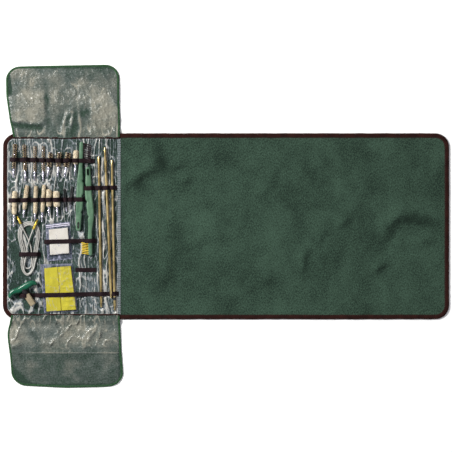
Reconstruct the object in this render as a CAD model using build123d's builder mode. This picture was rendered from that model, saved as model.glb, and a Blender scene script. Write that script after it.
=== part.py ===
from build123d import *
import os

# A roll-out cleaning mat of felt, bound with tape round its edge. A tool panel at its left end is
# lined with clear film and carries elastic bands that hold rods, brushes, mops and other tools.
# Two flaps fold over the tool panel, and the mat then folds over it twice.
#
# Lengths are in millimetres. The mat is modelled flat and open: +X runs along it, away from the
# tool panel, +Y points to the upper flap and +Z up. The origin is under the middle of the mat.

# Mat: three panels and, between them, two narrow strips that bend when it is folded
MAT_LENGTH = 892
MAT_WIDTH = 372
MAT_CORNER = 28
FELT_THICKNESS = 3.0
TOOL_PANEL_LENGTH = 236
STRIP_1_LENGTH = 32
PANEL_1_LENGTH = 288
STRIP_2_LENGTH = 41

# Binding tape: a channel that grips a thinner tongue round the felt's edge
BINDING_WIDTH = 9
BINDING_TOP = 3.4
TONGUE_INSET = 1.4
TONGUE_BOTTOM = 0.8
TONGUE_THICKNESS = 1.6

# Clear film that lines the tool panel, and the stitched strip along its right edge
FILM_THICKNESS = 0.3
FILM_INSET = 9.5
SEAM_WIDTH = 6.5
SEAM_FROM_FOLD = 0.5

# Flaps: a soft gusset that steps down from the panel's edge to the table, then the flap itself
GUSSET_ROOT_Y = 178
GUSSET_TOP = 5.0
GUSSET_SHELF = 9
GUSSET_FOOT = 7
GUSSET_LENGTH = 28
FLAP_THICKNESS = 1.6
FLAP_RIGHT = -212
FLAP_END_Y = 323
FLAP_CORNER = 29
EDGING_WIDTH = 5
EDGING_TOP = 1.9
FLAP_FILM_THICKNESS = 0.2

# Tools lie on the film with a little play
FLOOR = FELT_THICKNESS + FILM_THICKNESS + 0.1

# Elastic bands
BAND_WIDTH = 8.6
BAND_THICKNESS = 1.0
BAND_CLEARANCE = 0.8
BAND_FLOOR = FELT_THICKNESS + FILM_THICKNESS

# Threads and wire that brushes, mops, tips and rods share
THREAD_RADIUS = 1.6
THREAD_LENGTH = 8
WIRE_RADIUS = 1.1
WIRE_CLEARANCE = 0.05
FERRULE_RADIUS = 2.2

# Rods
ROD_RADIUS = 2.4
ROD_THREAD_RADIUS = 1.7
ROD_THREAD_LENGTH = 8
ROD_SOCKET_RADIUS = 1.75
ROD_SOCKET_DEPTH = 9
ROD_GROOVE_DEPTH = 0.3
ROD_GROOVE_WIDTH = 1.2

# Where the mat folds
MAT_LEFT = -MAT_LENGTH / 2
MAT_RIGHT = MAT_LENGTH / 2
FOLD_1_LEFT = MAT_LEFT + TOOL_PANEL_LENGTH
FOLD_1_RIGHT = FOLD_1_LEFT + STRIP_1_LENGTH
FOLD_2_LEFT = FOLD_1_RIGHT + PANEL_1_LENGTH
FOLD_2_RIGHT = FOLD_2_LEFT + STRIP_2_LENGTH

os.makedirs("parts", exist_ok=True)


def save(part, label):
    """Label a finished piece and write it."""
    part.label = label
    export_step(part, f"parts/{label}.step")


# ---------------------------------------------------------------- mat and binding
def mat_outline(inset, x_from, x_to, height=0.0):
    """The mat's outline, pulled in by inset, between two lines across the mat."""
    with BuildSketch(Plane.XY.offset(height)) as outline:
        RectangleRounded(MAT_LENGTH - 2 * inset, MAT_WIDTH - 2 * inset, MAT_CORNER - inset)
        with Locations(((x_from + x_to) / 2, 0)):
            Rectangle(x_to - x_from, MAT_WIDTH, mode=Mode.INTERSECT)
    return outline.sketch


def mat_section(label, x_from, x_to):
    """One length of the felt, and the binding along its outer edges."""
    with BuildPart() as felt:
        extrude(mat_outline(BINDING_WIDTH, x_from, x_to), amount=FELT_THICKNESS)
        extrude(mat_outline(TONGUE_INSET, x_from, x_to, TONGUE_BOTTOM), amount=TONGUE_THICKNESS)
    save(felt.part, label)

    with BuildPart() as binding:
        extrude(mat_outline(0, x_from, x_to), amount=BINDING_TOP)
        extrude(mat_outline(BINDING_WIDTH, x_from, x_to), amount=BINDING_TOP, mode=Mode.SUBTRACT)
        tongue = mat_outline(TONGUE_INSET, x_from, x_to, TONGUE_BOTTOM)
        extrude(tongue, amount=TONGUE_THICKNESS, mode=Mode.SUBTRACT)
    save(binding.part, f"{label}_binding")


mat_section("tool_panel", MAT_LEFT, FOLD_1_LEFT)
mat_section("fold_strip_1", FOLD_1_LEFT, FOLD_1_RIGHT)
mat_section("mat_panel_1", FOLD_1_RIGHT, FOLD_2_LEFT)
mat_section("fold_strip_2", FOLD_2_LEFT, FOLD_2_RIGHT)
mat_section("mat_panel_2", FOLD_2_RIGHT, MAT_RIGHT)

# ---------------------------------------------------------------- panel film and its seam strip
SEAM_RIGHT = FOLD_1_LEFT - SEAM_FROM_FOLD
SEAM_LEFT = SEAM_RIGHT - SEAM_WIDTH

with BuildPart() as panel_film:
    extrude(mat_outline(FILM_INSET, MAT_LEFT, SEAM_LEFT, FELT_THICKNESS), amount=FILM_THICKNESS)
save(panel_film.part, "panel_film")

with BuildPart() as film_seam:
    extrude(mat_outline(FILM_INSET, SEAM_LEFT, SEAM_RIGHT, FELT_THICKNESS), amount=FILM_THICKNESS)
save(film_seam.part, "film_seam")


# ---------------------------------------------------------------- flaps
def flap(label, side, root_left, hip_left, end_left):
    """A flap and its gusset. side is 1 for the upper flap and -1 for the lower one.

    root_left, hip_left and end_left are the (x, distance from the mat's centre line) of the
    left edge where it leaves the gusset, bends, and meets the end.
    """
    root = GUSSET_ROOT_Y + GUSSET_LENGTH
    run_in = 20

    # The gusset's section: a shelf over the binding, a slope down to the table, then a foot
    with BuildPart() as gusset:
        with BuildSketch(Plane.YZ.offset(root_left[0])):
            with BuildLine():
                shelf_end = GUSSET_ROOT_Y + GUSSET_SHELF
                Polyline(
                    (side * GUSSET_ROOT_Y, GUSSET_TOP),
                    (side * shelf_end, GUSSET_TOP),
                    (side * (root - GUSSET_FOOT), FLAP_THICKNESS),
                    (side * root, FLAP_THICKNESS),
                    (side * root, 0),
                    (side * (root - GUSSET_FOOT - 1), 0),
                    (side * shelf_end, GUSSET_TOP - FLAP_THICKNESS + 0.1),
                    (side * GUSSET_ROOT_Y, GUSSET_TOP - FLAP_THICKNESS + 0.1),
                    close=True,
                )
            make_face()
        extrude(amount=FLAP_RIGHT - root_left[0])
    save(gusset.part, f"{label}_gusset")

    def flap_outline(inset, height):
        """The flap's outline, pulled in by inset on its three free sides."""
        with BuildSketch(Plane.XY.offset(height)) as outline:
            with BuildLine():
                start = (root_left[0], side * (root - run_in))
                Polyline(
                    start,
                    (root_left[0], side * root_left[1]),
                    (hip_left[0], side * hip_left[1]),
                    (end_left[0], side * end_left[1]),
                    (FLAP_RIGHT, side * FLAP_END_Y),
                    (FLAP_RIGHT, side * (root - run_in)),
                    close=True,
                )
            make_face()
            corners = outline.vertices().sort_by(Axis.Y, reverse=side > 0)[:2]
            fillet(corners, FLAP_CORNER)
            if inset > 0:
                offset(amount=-inset, mode=Mode.REPLACE)
            reach = FLAP_END_Y - root
            with Locations((FLAP_RIGHT - 150, side * (root + reach / 2))):
                Rectangle(300, reach, mode=Mode.INTERSECT)
        return outline.sketch

    with BuildPart() as felt:
        extrude(flap_outline(EDGING_WIDTH, 0), amount=FLAP_THICKNESS)
    save(felt.part, label)

    with BuildPart() as edging:
        extrude(flap_outline(0, 0), amount=EDGING_TOP)
        extrude(flap_outline(EDGING_WIDTH, 0), amount=EDGING_TOP, mode=Mode.SUBTRACT)
    save(edging.part, f"{label}_edging")

    with BuildPart() as film:
        extrude(flap_outline(EDGING_WIDTH, FLAP_THICKNESS), amount=FLAP_FILM_THICKNESS)
    save(film.part, f"{label}_film")


flap("upper_flap", 1, root_left=(-426, 215), hip_left=(-440, 262), end_left=(-440, FLAP_END_Y))
flap("lower_flap", -1, root_left=(-431, 208), hip_left=(-437, 216), end_left=(-427, FLAP_END_Y))


# ---------------------------------------------------------------- brushes, mops, tips and rods
def lying_plane(top, end, radius, lift=0.0):
    """A plane at the end of a round tool that lies on the film, looking along it to its top."""
    along = Vector(top[0] - end[0], top[1] - end[1], 0)
    return Plane(origin=(end[0], end[1], FLOOR + radius + lift), x_dir=(0, 0, 1), z_dir=along)


def length_between(top, end):
    return (Vector(*top) - Vector(*end)).length


ALONG = (Align.CENTER, Align.CENTER, Align.MIN)


def twisted_wire_tool(label, top, end, head_length, head_radius, rounding):
    """A head of bristle or wool round a twisted wire, with a ferrule and a threaded stud."""
    length = length_between(top, end)
    head_start = length - head_length
    with BuildPart(lying_plane(top, end, head_radius)) as tool:
        with Locations((0, 0, head_start)):
            Cylinder(head_radius, head_length, align=ALONG)
        rims = tool.edges().filter_by(GeomType.CIRCLE)
        fillet(rims, rounding)
        with Locations((0, 0, head_start)):
            bore = WIRE_RADIUS + WIRE_CLEARANCE
            Cylinder(bore, head_length, align=ALONG, mode=Mode.SUBTRACT)
        with Locations((0, 0, THREAD_LENGTH)):
            Cylinder(FERRULE_RADIUS, head_start - THREAD_LENGTH - 0.2, align=ALONG)
        Cylinder(THREAD_RADIUS, THREAD_LENGTH, align=ALONG)
        with Locations((0, 0, head_start - 1)):
            Cylinder(WIRE_RADIUS, head_length, align=ALONG)
    save(tool.part, label)


# Each tool's top and end are where its axis starts and stops on the panel
BRONZE_BRUSHES = {
    "long_bronze_brush_1": {"top": (-420.5, 164.5), "end": (-424, 96.5), "head": 49.5, "radius": 4.1},
    "long_bronze_brush_2": {"top": (-402.5, 163.5), "end": (-400, 90), "head": 53, "radius": 4.0},
    "long_bronze_brush_3": {"top": (-381, 160.5), "end": (-382, 90.5), "head": 51, "radius": 3.2},
    "long_bronze_brush_4": {"top": (-364.5, 160.5), "end": (-365, 90.5), "head": 51, "radius": 3.2},
    "short_bronze_brush_1": {"top": (-349, 147.5), "end": (-356, 99), "head": 30, "radius": 5.2},
    "short_bronze_brush_2": {"top": (-332, 147.5), "end": (-336, 98.5), "head": 29, "radius": 4.8},
    "short_bronze_brush_3": {"top": (-314, 147), "end": (-322, 97.5), "head": 29, "radius": 6.0},
}
WOOL_MOPS = {
    "long_wool_mop_1": {"top": (-421, 70.5), "end": (-423, -1.5), "head": 47.5, "radius": 5.0},
    "long_wool_mop_2": {"top": (-396.5, 82), "end": (-404, 17), "head": 49, "radius": 4.4},
    "long_wool_mop_3": {"top": (-379, 81), "end": (-381, 12.5), "head": 56.5, "radius": 4.1},
    "long_wool_mop_4": {"top": (-362.5, 83.5), "end": (-367.5, 8.5), "head": 56, "radius": 3.9},
    "short_wool_mop_1": {"top": (-353, 74), "end": (-353, 20.5), "head": 35, "radius": 5.5},
    "short_wool_mop_2": {"top": (-338.5, 70.5), "end": (-335.5, 18.5), "head": 32, "radius": 6.6},
    "short_wool_mop_3": {"top": (-298.5, 151.5), "end": (-301.5, 100), "head": 28, "radius": 5.4},
}
for label, size in BRONZE_BRUSHES.items():
    twisted_wire_tool(label, size["top"], size["end"], size["head"], size["radius"], 0.6)
for label, size in WOOL_MOPS.items():
    twisted_wire_tool(label, size["top"], size["end"], size["head"], size["radius"], 2.4)

TIP_RADIUS = 2.3
TIP_EYE_LENGTH = 18
TIP_EYE_WIDTH = 1.6
SLOTTED_TIPS = {
    "slotted_tip_1": {"top": (-323, 75.5), "end": (-318.5, 30), "radius": TIP_RADIUS},
    "slotted_tip_2": {"top": (-307, 80), "end": (-311, 35), "radius": TIP_RADIUS},
}
for label, size in SLOTTED_TIPS.items():
    tip_length = length_between(size["top"], size["end"])
    with BuildPart(lying_plane(size["top"], size["end"], TIP_RADIUS)) as tip:
        with Locations((0, 0, THREAD_LENGTH)):
            Cylinder(TIP_RADIUS, tip_length - THREAD_LENGTH, align=ALONG)
        fillet(tip.faces().sort_by(Axis.Y)[-1].edges(), 1.4)
        Cylinder(THREAD_RADIUS, THREAD_LENGTH, align=ALONG)
        with Locations((0, 0, tip_length - TIP_EYE_LENGTH / 2 - 5)):
            Box(3 * TIP_RADIUS, TIP_EYE_WIDTH, TIP_EYE_LENGTH, mode=Mode.SUBTRACT)
    save(tip.part, label)

# The middle rod lies over the lower band and the others under it
OVER_BAND = BAND_THICKNESS + 0.1
RODS = {
    "rod_1": {"top": (-254, 138.5), "end": (-249, -161.5), "radius": ROD_RADIUS},
    "rod_2": {"top": (-241.5, 156.5), "end": (-229, -143.5), "radius": ROD_RADIUS, "lift": OVER_BAND},
    "rod_3": {"top": (-227.5, 132), "end": (-222, -168), "radius": ROD_RADIUS},
}
for label, size in RODS.items():
    rod_length = length_between(size["top"], size["end"])
    plane = lying_plane(size["top"], size["end"], ROD_RADIUS, size.get("lift", 0))
    with BuildPart(plane) as rod:
        with Locations((0, 0, ROD_THREAD_LENGTH)):
            Cylinder(ROD_RADIUS, rod_length - ROD_THREAD_LENGTH, align=ALONG)
        Cylinder(ROD_THREAD_RADIUS, ROD_THREAD_LENGTH, align=ALONG)
        with Locations((0, 0, rod_length - ROD_SOCKET_DEPTH)):
            Cylinder(ROD_SOCKET_RADIUS, ROD_SOCKET_DEPTH, align=ALONG, mode=Mode.SUBTRACT)
        # A turned groove marks each joint
        with BuildSketch(plane.offset(ROD_THREAD_LENGTH + 10), plane.offset(rod_length - 12)):
            Circle(ROD_RADIUS)
            Circle(ROD_RADIUS - ROD_GROOVE_DEPTH, mode=Mode.SUBTRACT)
        extrude(amount=ROD_GROOVE_WIDTH, mode=Mode.SUBTRACT)
    save(rod.part, label)

# ---------------------------------------------------------------- utility brushes
UTILITY_THICKNESS = 7.0
UTILITY_LENGTH = 178
GRIP_WIDTH = 12.5
NECK_WIDTH = 6.5
HEAD_LENGTH = 42
HEAD_WIDTH = 7.5
TAIL_WIDTH = 9
HANG_SLOT_LENGTH = 13
HANG_SLOT_WIDTH = 3.6
BUMP_RADIUS = 3.2
BUMP_HEIGHT = 1.0
BUMPS_FROM_TAIL = (46, 62, 78)
TUFT_RADIUS = 1.3
TUFT_ROW_GAP = 2.9
TUFTS_FROM_TOP = 1.5


def utility_brush(label, tail, top, side, tuft_row, tuft_count, tuft_length, bristle):
    """A moulded handle with tufts on one side of its head. side is 1 if the tufts point right."""
    along = Vector(top[0] - tail[0], top[1] - tail[1], 0)
    base = Plane(origin=(tail[0], tail[1], FLOOR), x_dir=along, z_dir=(0, 0, 1))
    tuft_edge = -1 if (side > 0) == (along.Y > 0) else 1
    head_middle = UTILITY_LENGTH - HEAD_LENGTH / 2

    with BuildPart() as handle:
        with BuildSketch(base):
            with Locations((head_middle, 0)):
                RectangleRounded(HEAD_LENGTH, HEAD_WIDTH, 2.5)
            with Locations((UTILITY_LENGTH / 2, 0)):
                Rectangle(UTILITY_LENGTH - 40, NECK_WIDTH)
            with Locations((62, 0)):
                SlotOverall(88, GRIP_WIDTH)
            with Locations((15, 0)):
                SlotOverall(30, TAIL_WIDTH)
            # Finger bumps along the grip's tuft side
            bump_y = tuft_edge * (GRIP_WIDTH / 2 + BUMP_HEIGHT - BUMP_RADIUS)
            with Locations(*[(x, bump_y) for x in BUMPS_FROM_TAIL]):
                Circle(BUMP_RADIUS)
            with Locations((11, 0)):
                SlotOverall(HANG_SLOT_LENGTH, HANG_SLOT_WIDTH, mode=Mode.SUBTRACT)
        extrude(amount=UTILITY_THICKNESS)
    save(handle.part, f"{label}_handle")

    # Two rows of tufts, each tuft a small cylinder
    pitch = tuft_row / tuft_count
    first = UTILITY_LENGTH - TUFTS_FROM_TOP - tuft_row
    with BuildPart() as tufts:
        for row in (-1, 1):
            height = FLOOR + UTILITY_THICKNESS / 2 + row * TUFT_ROW_GAP / 2
            for n in range(tuft_count):
                reach = first + pitch * (n + 0.5)
                root = base.from_local_coords(Vector(reach, tuft_edge * HEAD_WIDTH / 2, 0))
                away = base.y_dir * tuft_edge
                with BuildSketch(Plane(origin=(root.X, root.Y, height), z_dir=away)):
                    Circle(TUFT_RADIUS)
                extrude(amount=tuft_length)
    save(tufts.part, f"{label}_{bristle}_bristles")


utility_brush("utility_brush_1", (-295, -9.5), (-288, 167.5), 1, 38, 11, 16, "nylon")
utility_brush("utility_brush_2", (-275, 119), (-270, -59), -1, 23.5, 8, 14, "brass")

# ---------------------------------------------------------------- T-handle
COLLAR_LENGTH = 13
COLLAR_RADIUS = 6.2
SOCKET_SIZE = 12
SOCKET_LENGTH = 24
SOCKET_BORE_RADIUS = 1.75
SOCKET_BORE_DEPTH = 10
STEM_START = (-404, -125.3)
STEM_DIRECTION = Vector(0.55, -0.84, 0).normalized()

with BuildPart() as handle_grip:
    with BuildSketch(Plane.XY.offset(FLOOR)):
        with BuildLine():
            upper = Spline((-434, -137), (-429, -127.5), (-411, -117), (-394, -108.2), (-378, -108.5))
            neck = Spline((-377.5, -115), (-386, -113.5), (-394, -118.5), (-399, -127))
            palm = Spline((-399, -127), (-409, -131.5), (-420, -132.8), (-430.5, -144))
            Line(upper @ 1, neck @ 0)
            Line(palm @ 1, upper @ 0)
        make_face()
    extrude(amount=2 * COLLAR_RADIUS)
save(handle_grip.part, "handle_grip")

stem_plane = Plane(
    origin=(STEM_START[0], STEM_START[1], FLOOR + COLLAR_RADIUS), x_dir=(0, 0, 1), z_dir=STEM_DIRECTION
)
with BuildPart() as handle_collar:
    with BuildSketch(stem_plane):
        Circle(COLLAR_RADIUS)
    extrude(amount=COLLAR_LENGTH)
    add(handle_grip.part, mode=Mode.SUBTRACT)
save(handle_collar.part, "handle_collar")

with BuildPart(stem_plane) as handle_socket:
    with Locations((0, 0, COLLAR_LENGTH)):
        Box(SOCKET_SIZE, SOCKET_SIZE, SOCKET_LENGTH, align=ALONG)
    chamfer(handle_socket.edges().filter_by(Axis(stem_plane.origin, stem_plane.z_dir)), 1.5)
    with Locations((0, 0, COLLAR_LENGTH + SOCKET_LENGTH - SOCKET_BORE_DEPTH)):
        Cylinder(SOCKET_BORE_RADIUS, SOCKET_BORE_DEPTH, align=ALONG, mode=Mode.SUBTRACT)
save(handle_socket.part, "handle_socket")

# ---------------------------------------------------------------- patch bag and folded cloth
BAG_THICKNESS = 5.0
TRAY_THICKNESS = 0.8
PATCH_GAP = 0.1


def slab(plane, corners, radius, amount, mode=Mode.ADD):
    """A flat slab with rounded corners, added to or cut from the part being built."""
    with BuildSketch(plane) as outline:
        with BuildLine():
            Polyline(*corners, close=True)
        make_face()
        fillet(outline.vertices(), radius)
    extrude(outline.sketch, amount=amount, mode=mode)


def grown(corners, gap):
    """A quadrilateral's corners moved out by gap from its middle, along X and along Y."""
    middle = sum((Vector(*corner) for corner in corners), Vector()) / len(corners)
    moved = []
    for x, y in corners:
        moved.append((x + (gap if x > middle.X else -gap), y + (gap if y > middle.Y else -gap)))
    return moved


BAG_CORNERS = [(-361.5, 4), (-311.5, 10.5), (-306, -66), (-357.5, -71)]
PATCH_CORNERS = [(-354, -7), (-315, -2.5), (-312, -54), (-351, -58)]
CLOTH_BAG_CORNERS = [(-371, -75.5), (-305.5, -73.5), (-294, -171.5), (-364, -174)]
CLOTH_CORNERS = [(-363, -83), (-309.5, -78.5), (-298, -166.5), (-358, -170.5)]

with BuildPart() as patch_bag:
    slab(Plane.XY.offset(FLOOR), BAG_CORNERS, 3, BAG_THICKNESS)
    pocket = Plane.XY.offset(FLOOR + TRAY_THICKNESS)
    slab(pocket, grown(PATCH_CORNERS, PATCH_GAP), 1, BAG_THICKNESS, Mode.SUBTRACT)
save(patch_bag.part, "patch_bag")

with BuildPart() as cleaning_patches:
    slab(pocket, PATCH_CORNERS, 1, BAG_THICKNESS - TRAY_THICKNESS)
save(cleaning_patches.part, "cleaning_patches")

with BuildPart() as cloth_bag:
    slab(Plane.XY.offset(FLOOR), CLOTH_BAG_CORNERS, 3, BAG_THICKNESS)
    slab(pocket, grown(CLOTH_CORNERS, PATCH_GAP), 1, BAG_THICKNESS, Mode.SUBTRACT)
save(cloth_bag.part, "cloth_bag")

with BuildPart() as folded_cloth:
    slab(pocket, CLOTH_CORNERS, 1, BAG_THICKNESS - TRAY_THICKNESS)
save(folded_cloth.part, "folded_cloth")

# ---------------------------------------------------------------- pull-through cable
# The cable lies in a hank, narrowest under its band, which this solid encloses. Each end carries
# a threaded ferrule.
HANK_THICKNESS = 7.0
END_FERRULE_RADIUS = 2.4
CABLE_FERRULES = [((-416, 19), (-409, 4.5)), ((-375.5, 13), (-384.5, -6.5))]

with BuildPart() as cable_hank:
    with BuildSketch(Plane.XY.offset(FLOOR)):
        with BuildLine():
            Spline(
                (-393, 10.5),
                (-411, 3),
                (-416.5, -18),
                (-408.5, -45),
                (-407.5, -58),
                (-411, -78),
                (-395.5, -102),
                (-380, -78),
                (-376, -58),
                (-375.5, -45),
                (-370, -18),
                (-375, 3),
                periodic=True,
            )
        make_face()
    extrude(amount=HANK_THICKNESS)
save(cable_hank.part, "cable_hank")

with BuildPart() as cable_ferrules:
    for start, stop in CABLE_FERRULES:
        with BuildSketch(lying_plane(start, stop, END_FERRULE_RADIUS)):
            Circle(END_FERRULE_RADIUS)
        extrude(amount=length_between(start, stop))
save(cable_ferrules.part, "cable_ferrules")


# ---------------------------------------------------------------- elastic bands
def crossing(tools, y):
    """The (x, radius, lift) of each round tool that a line across the panel crosses."""
    found = []
    for tool in tools.values():
        (top_x, top_y), (end_x, end_y) = tool["top"], tool["end"]
        if end_y < y < top_y:
            x = end_x + (top_x - end_x) * (y - end_y) / (top_y - end_y)
            found.append((x, tool["radius"], tool.get("lift", 0)))
    return found


def elastic_band(label, start, stop, round_tools, flat_tools):
    """A flat band sewn to the panel that arches over each tool it holds.

    A round tool is (x of its axis, radius, lift) and a flat one (x from, x to, height).
    """
    along = Vector(stop[0] - start[0], stop[1] - start[1], 0)
    across = along.cross(Vector(0, 0, 1))
    section = Plane(origin=(start[0], start[1], BAND_FLOOR), x_dir=along, z_dir=across)
    rise = FLOOR - BAND_FLOOR
    # First every arch, then the room for every tool under them
    outside = (BAND_CLEARANCE + BAND_THICKNESS, Mode.ADD)
    inside = (BAND_CLEARANCE, Mode.SUBTRACT)
    with BuildPart() as band:
        with BuildSketch(section):
            with Locations((along.length / 2, BAND_THICKNESS / 2)):
                Rectangle(along.length, BAND_THICKNESS)
            for spare, mode in (outside, inside):
                for x, radius, lift in round_tools:
                    middle = rise + radius + lift
                    with Locations((x - start[0], middle)):
                        Circle(radius + spare, mode=mode)
                    with Locations((x - start[0], middle / 2 - 1)):
                        Rectangle(2 * (radius + spare), middle + 2, mode=mode)
                for x_from, x_to, height in flat_tools:
                    crown = rise + height + spare
                    with Locations(((x_from + x_to) / 2 - start[0], crown / 2 - 1)):
                        Rectangle(x_to - x_from + 2 * spare, crown + 2, mode=mode)
            # Nothing reaches under the film
            with Locations((along.length / 2, -10)):
                Rectangle(2 * along.length, 20, mode=Mode.SUBTRACT)
        extrude(amount=BAND_WIDTH / 2, both=True)
    save(band.part, label)


BRUSH_BAND_Y = 131.5
MOP_BAND_Y = 52.5
ROD_BAND_Y = 76.5
LOWER_BAND_Y = -134.5

elastic_band(
    "brush_band",
    start=(-431.5, 133),
    stop=(-262.5, 130),
    round_tools=crossing(BRONZE_BRUSHES, BRUSH_BAND_Y) + crossing(WOOL_MOPS, BRUSH_BAND_Y),
    flat_tools=[(-293.6, -268.4, UTILITY_THICKNESS)],
)
elastic_band(
    "mop_band",
    start=(-434, 51.5),
    stop=(-281.2, 53.5),
    round_tools=crossing(WOOL_MOPS, MOP_BAND_Y) + crossing(SLOTTED_TIPS, MOP_BAND_Y),
    flat_tools=[(-299.5, -284.6, UTILITY_THICKNESS)],
)
elastic_band(
    "rod_band",
    start=(-284.9, 75.5),
    stop=(-217.8, 77.5),
    round_tools=crossing(RODS, ROD_BAND_Y),
    flat_tools=[(-281.4, -267.1, UTILITY_THICKNESS)],
)
elastic_band(
    "bag_band",
    start=(-363, -31),
    stop=(-258.4, -29),
    round_tools=[],
    flat_tools=[(-359.6, -308.2, BAG_THICKNESS), (-276, -266.5, UTILITY_THICKNESS)],
)
elastic_band(
    "cable_band",
    start=(-413, -56),
    stop=(-370.5, -56),
    round_tools=[],
    flat_tools=[(-408.2, -375.2, HANK_THICKNESS)],
)
elastic_band("spare_band", start=(-301, -87.3), stop=(-259, -87.3), round_tools=[], flat_tools=[])
elastic_band(
    "lower_band",
    start=(-413, -138.5),
    stop=(-214.4, -134.3),
    round_tools=crossing({"rod_1": RODS["rod_1"], "rod_3": RODS["rod_3"]}, LOWER_BAND_Y),
    flat_tools=[(-406, -384.8, 2 * COLLAR_RADIUS), (-367.5, -297.8, BAG_THICKNESS)],
)
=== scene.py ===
"""The looks of a roll-out felt cleaning mat and its tools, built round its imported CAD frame.

Shapes are worked out in millimetres and turned into metres when a piece is made.
"""

import math

import bpy
import numpy as np
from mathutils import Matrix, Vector


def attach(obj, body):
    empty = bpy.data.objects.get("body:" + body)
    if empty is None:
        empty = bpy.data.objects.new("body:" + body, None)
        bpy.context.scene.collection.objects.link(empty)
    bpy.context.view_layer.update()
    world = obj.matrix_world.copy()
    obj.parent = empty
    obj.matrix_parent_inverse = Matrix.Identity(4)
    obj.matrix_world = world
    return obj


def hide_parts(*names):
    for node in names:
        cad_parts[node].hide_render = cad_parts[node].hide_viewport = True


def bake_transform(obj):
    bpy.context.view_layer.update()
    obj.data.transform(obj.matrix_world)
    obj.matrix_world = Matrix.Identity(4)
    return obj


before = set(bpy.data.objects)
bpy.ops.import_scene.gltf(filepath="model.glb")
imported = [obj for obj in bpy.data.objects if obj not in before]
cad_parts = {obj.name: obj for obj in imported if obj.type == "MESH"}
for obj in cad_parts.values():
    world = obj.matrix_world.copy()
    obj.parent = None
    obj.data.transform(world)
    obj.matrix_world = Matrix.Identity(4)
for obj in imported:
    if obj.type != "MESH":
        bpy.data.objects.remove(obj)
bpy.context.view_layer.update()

MM = 0.001
PI = math.pi
UP = np.array([0.0, 0.0, 1.0])
# Heights over the table in millimetres: the felt, the panel's film, and what lies on the film
FELT_TOP = 3.0
FILM_TOP = 3.3
FLOOR = 3.4

# ------------------------------------------------------------------ camera, lights and floor
camera_data = bpy.data.cameras.new("camera")
camera_data.lens = 100
camera_data.sensor_width = 36
camera = bpy.data.objects.new("camera", camera_data)
camera.location = (0.0, 0.0005, 2.511)
bpy.context.scene.collection.objects.link(camera)
bpy.context.scene.camera = camera


def area_light(name, location, target, size, power, colour=(1, 1, 1)):
    data = bpy.data.lights.new(name, "AREA")
    data.size = size
    data.energy = power
    data.color = colour
    light = bpy.data.objects.new(name, data)
    light.location = location
    bpy.context.scene.collection.objects.link(light)
    light.rotation_euler = (light.location - Vector(target)).to_track_quat("Z", "Y").to_euler()


area_light("key", (-2.6, 1.5, 2.35), (0.0, 0.0, 0.0), 0.7, 215, (1.0, 0.985, 0.96))
area_light("fill", (2.0, -1.4, 2.6), (0.1, 0.0, 0.0), 2.0, 24, (0.94, 0.97, 1.0))

bpy.context.scene.view_settings.view_transform = "Standard"


# ------------------------------------------------------------------ noise and small helpers
TABLE = np.random.default_rng(11).random((256, 256)) * 2 - 1


def noise(x, y, seed=0):
    """Smooth noise from -1 to 1 with one bump for each unit of x and y."""
    x = np.asarray(x, float) + seed * 17.31
    y = np.asarray(y, float) + seed * 31.73
    i, j = np.floor(x).astype(int), np.floor(y).astype(int)
    u, v = x - i, y - j
    u, v = u * u * (3 - 2 * u), v * v * (3 - 2 * v)
    low = TABLE[i % 256, j % 256] * (1 - u) + TABLE[(i + 1) % 256, j % 256] * u
    high = TABLE[i % 256, (j + 1) % 256] * (1 - u) + TABLE[(i + 1) % 256, (j + 1) % 256] * u
    return low * (1 - v) + high * v


def fbm(x, y, seed=0, octaves=4):
    total = sum(noise(x * 2**n, y * 2**n, seed + n) * 0.5**n for n in range(octaves))
    return total / (2 - 0.5 ** (octaves - 1))


def ridged(x, y, seed=0, octaves=3):
    """Sharp crests from 0 to 1."""
    total = sum((1 - np.abs(noise(x * 2**n, y * 2**n, seed + n))) ** 3 * 0.5**n for n in range(octaves))
    return total / (2 - 0.5 ** (octaves - 1))


def step(x, start, end):
    """0 before start, 1 after end, smooth between."""
    t = np.clip((np.asarray(x, float) - start) / (end - start), 0, 1)
    return t * t * (3 - 2 * t)


def fall(x, start, end):
    """1 before start, 0 after end, smooth between."""
    return 1 - step(x, start, end)


def window(x, start, full, fading, end):
    """0, then 1 from full to fading, then 0 again after end."""
    return step(x, start, full) * fall(x, fading, end)


def hill(x, middle, width):
    """1 at the middle, falling away smoothly over a width."""
    return np.exp(-(((np.asarray(x, float) - middle) / width) ** 2))


def unit(v):
    v = np.asarray(v, float)
    return v / np.maximum(np.linalg.norm(v, axis=-1, keepdims=True), 1e-9)


def run_along(path):
    """How far each point of a path lies from its start, along it."""
    return np.concatenate([[0], np.cumsum(np.linalg.norm(np.diff(path, axis=0), axis=1))])


def squarish(segments, power):
    """Cosines and sines round a rounded square; a smaller power is squarer."""
    angle = np.arange(segments) * 2 * PI / segments
    cos, sin = np.cos(angle), np.sin(angle)
    return np.sign(cos) * np.abs(cos) ** power, np.sign(sin) * np.abs(sin) ** power


def at_height(path, height):
    """A flat path lifted to a height."""
    return np.concatenate([path, np.full((len(path), 1), height)], 1)


def soften(row, times):
    """A row of numbers with its bends rounded off and its ends kept."""
    for _ in range(times):
        row[1:-1] = (row[:-2] + 2 * row[1:-1] + row[2:]) / 4
    return row


def smooth_line(rows, at):
    """A soft curve through a few (place, value) rows."""
    rows = np.array(rows, float)
    fine = np.linspace(rows[0, 0], rows[-1, 0], 200)
    value = np.interp(fine, rows[:, 0], rows[:, 1])
    kernel = np.hanning(23)
    padded = np.concatenate([np.full(11, value[0]), value, np.full(11, value[-1])])
    return np.interp(at, fine, np.convolve(padded, kernel / kernel.sum(), "valid"))


# ------------------------------------------------------------------ reading the CAD frame
def points(node):
    """A CAD node's vertices in millimetres."""
    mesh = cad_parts[node].data
    found = np.empty(len(mesh.vertices) * 3)
    mesh.vertices.foreach_get("co", found)
    return found.reshape(-1, 3) / MM


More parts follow.
